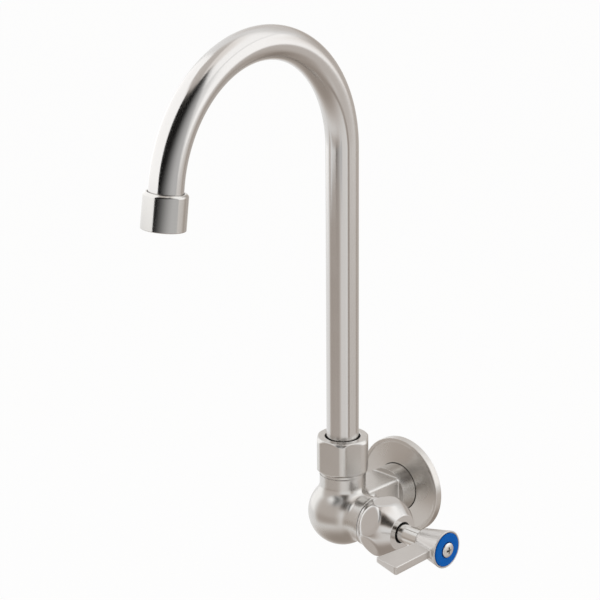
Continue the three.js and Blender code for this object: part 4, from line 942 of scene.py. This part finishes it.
def card(name, start, stop, slope, shades):
    """A glowing card bent round the nozzle between two bearings.
    slope says where its shade starts, and what crossing and climbing it add."""
    bm = bmesh.new()
    edge = bm.edges.new([bm.verts.new((0, -CARD_REACH, z)) for z in (CARD_FOOT, CARD_HEAD)])
    spin_up(bm, [edge], stop - start, 60)
    uv = bm.loops.layers.uv.new("across_and_up")
    for face in bm.faces:
        for loop in face.loops:
            x, y, z = loop.vert.co
            across = math.degrees(math.atan2(x, -y)) % 360 / (stop - start)
            loop[uv].uv = (across, (z - CARD_FOOT) / (CARD_HEAD - CARD_FOOT))
    place = Matrix.Translation(CARD_CENTRE) @ Matrix.Rotation(math.radians(start), 4, "Z")
    bmesh.ops.transform(bm, matrix=place, verts=bm.verts)
    bmesh.ops.scale(bm, vec=(MM, MM, MM), verts=bm.verts)
    mesh = mesh_from(bm, name)
    material, tree, _ = new_material(name + "_paper")
    start_shade, by_crossing, by_climbing = slope
    spot = add_node(tree, "ShaderNodeSeparateXYZ", {0: add_node(tree, "ShaderNodeTexCoord").outputs["UV"]})
    across = add_node(tree, "ShaderNodeMath", {
        0: spot.outputs[0], 1: by_crossing, 2: start_shade}, operation="MULTIPLY_ADD")
    run = add_node(tree, "ShaderNodeMath", {
        0: spot.outputs[1], 1: by_climbing, 2: across.outputs[0]}, operation="MULTIPLY_ADD")
    fade = add_node(tree, "ShaderNodeMapRange", {
        "Value": run.outputs[0], "To Min": shades[0], "To Max": shades[1]}, interpolation_type="SMOOTHSTEP")
    glow = add_node(tree, "ShaderNodeEmission", {"Color": (1, 1, 1, 1), "Strength": fade.outputs[0]})
    show(tree, glow.outputs[0])
    mesh.materials.append(material)
    sheet = new_object(name, mesh)
    sheet.visible_camera = sheet.visible_diffuse = sheet.visible_shadow = sheet.visible_transmission = False


card("white_card", -125, -5, (0, 0, 4), (0.85, 1.4))
card("black_card", -5, 110, (0.27, 1.19, -1.6), (0.005, 0.65))

# %% [markdown]
# The floor is a plain pale sheet well below the tap. The camera sees it as white as the tent, with a
# trace of the shadow, and reflections see through it.

# %% A pale floor
FLOOR_HALF, FLOOR_HEIGHT, FLOOR_GLOW = 4.0, -0.55, 0.93
sheet = bmesh.new()
bmesh.ops.create_grid(sheet, x_segments=1, y_segments=1, size=FLOOR_HALF)
bmesh.ops.translate(sheet, vec=(0, 0, FLOOR_HEIGHT), verts=sheet.verts)
floor = new_object("pale_floor", mesh_from(sheet, "pale_floor"))
paper, tree, shader = new_material("white_paper_sheet")
fill(tree, shader, {"Base Color": hex_colour("#f4f4f3"), "Roughness": 0.9})
lit = add_node(tree, "ShaderNodeEmission", {"Color": (1, 1, 1, 1), "Strength": 1.0})
path = add_node(tree, "ShaderNodeLightPath")
share = add_node(tree, "ShaderNodeMath", {
    0: path.outputs["Is Camera Ray"], 1: FLOOR_GLOW}, operation="MULTIPLY")
both = add_node(tree, "ShaderNodeMixShader", {0: share.outputs[0], 1: shader.outputs[0], 2: lit.outputs[0]})
show(tree, both.outputs[0])
floor.data.materials.append(paper)
floor.visible_glossy = False

# %% [markdown]
# Three soft boxes light it: one overhead, one on the left, and one behind on the right. They are broad
# and weak, so the steel shows them only as soft lifts of what the tent lights.

# %% Soft boxes
LIT_PLACE = Vector((0, -0.1, 0.12))


def softbox(name, bearing, height, distance, size, watts):
    """A light that faces the tap from a bearing and a height in degrees, some metres away."""
    lamp = bpy.data.lights.new(name, "AREA")
    lamp.shape, lamp.size, lamp.size_y, lamp.energy = "RECTANGLE", size[0], size[1], watts
    box = new_object(name, lamp)
    way, tip = math.radians(bearing), math.radians(height)
    away = Vector((math.sin(way) * math.cos(tip), -math.cos(way) * math.cos(tip), math.sin(tip)))
    box.location = LIT_PLACE + away * distance
    box.rotation_euler = away.to_track_quat("Z", "Y").to_euler()


softbox("overhead_box", 130, 62, 1.2, (1.2, 1.0), 1.4)
softbox("left_box", -85, 12, 1.6, (1.2, 1.6), 2.1)
softbox("right_box", 138, 14, 1.6, (1.4, 1.2), 2.2)

# %% [markdown]
# ## The camera
#
# The camera stands to the right of the tap and looks down on it a little. Its bearing, height and focal
# length were worked out from the outlines of the round pieces in the photograph.

# %% Camera
SENSOR, FOCAL_PIXELS, PHOTO_PIXELS = 36, 2349.04, 600
EYE_PLACE = (874.40, -981.74, 567.87)
EYE_BEARING, EYE_DIP, EYE_ROLL = 44.41, 18.909, -0.4586
camera = bpy.data.cameras.new("camera")
camera.sensor_width = SENSOR
camera.lens = SENSOR * FOCAL_PIXELS / PHOTO_PIXELS
eye = new_object("camera", camera)
eye.location = Vector(EYE_PLACE) * MM
turned = Matrix.Identity(3)
for angle, axis in ((EYE_BEARING, "Z"), (90 - EYE_DIP, "X"), (EYE_ROLL, "Z")):
    turned = turned @ Matrix.Rotation(math.radians(angle), 3, axis)
eye.rotation_euler = turned.to_euler()
scene.camera = eye
scene.view_settings.view_transform = "Standard"
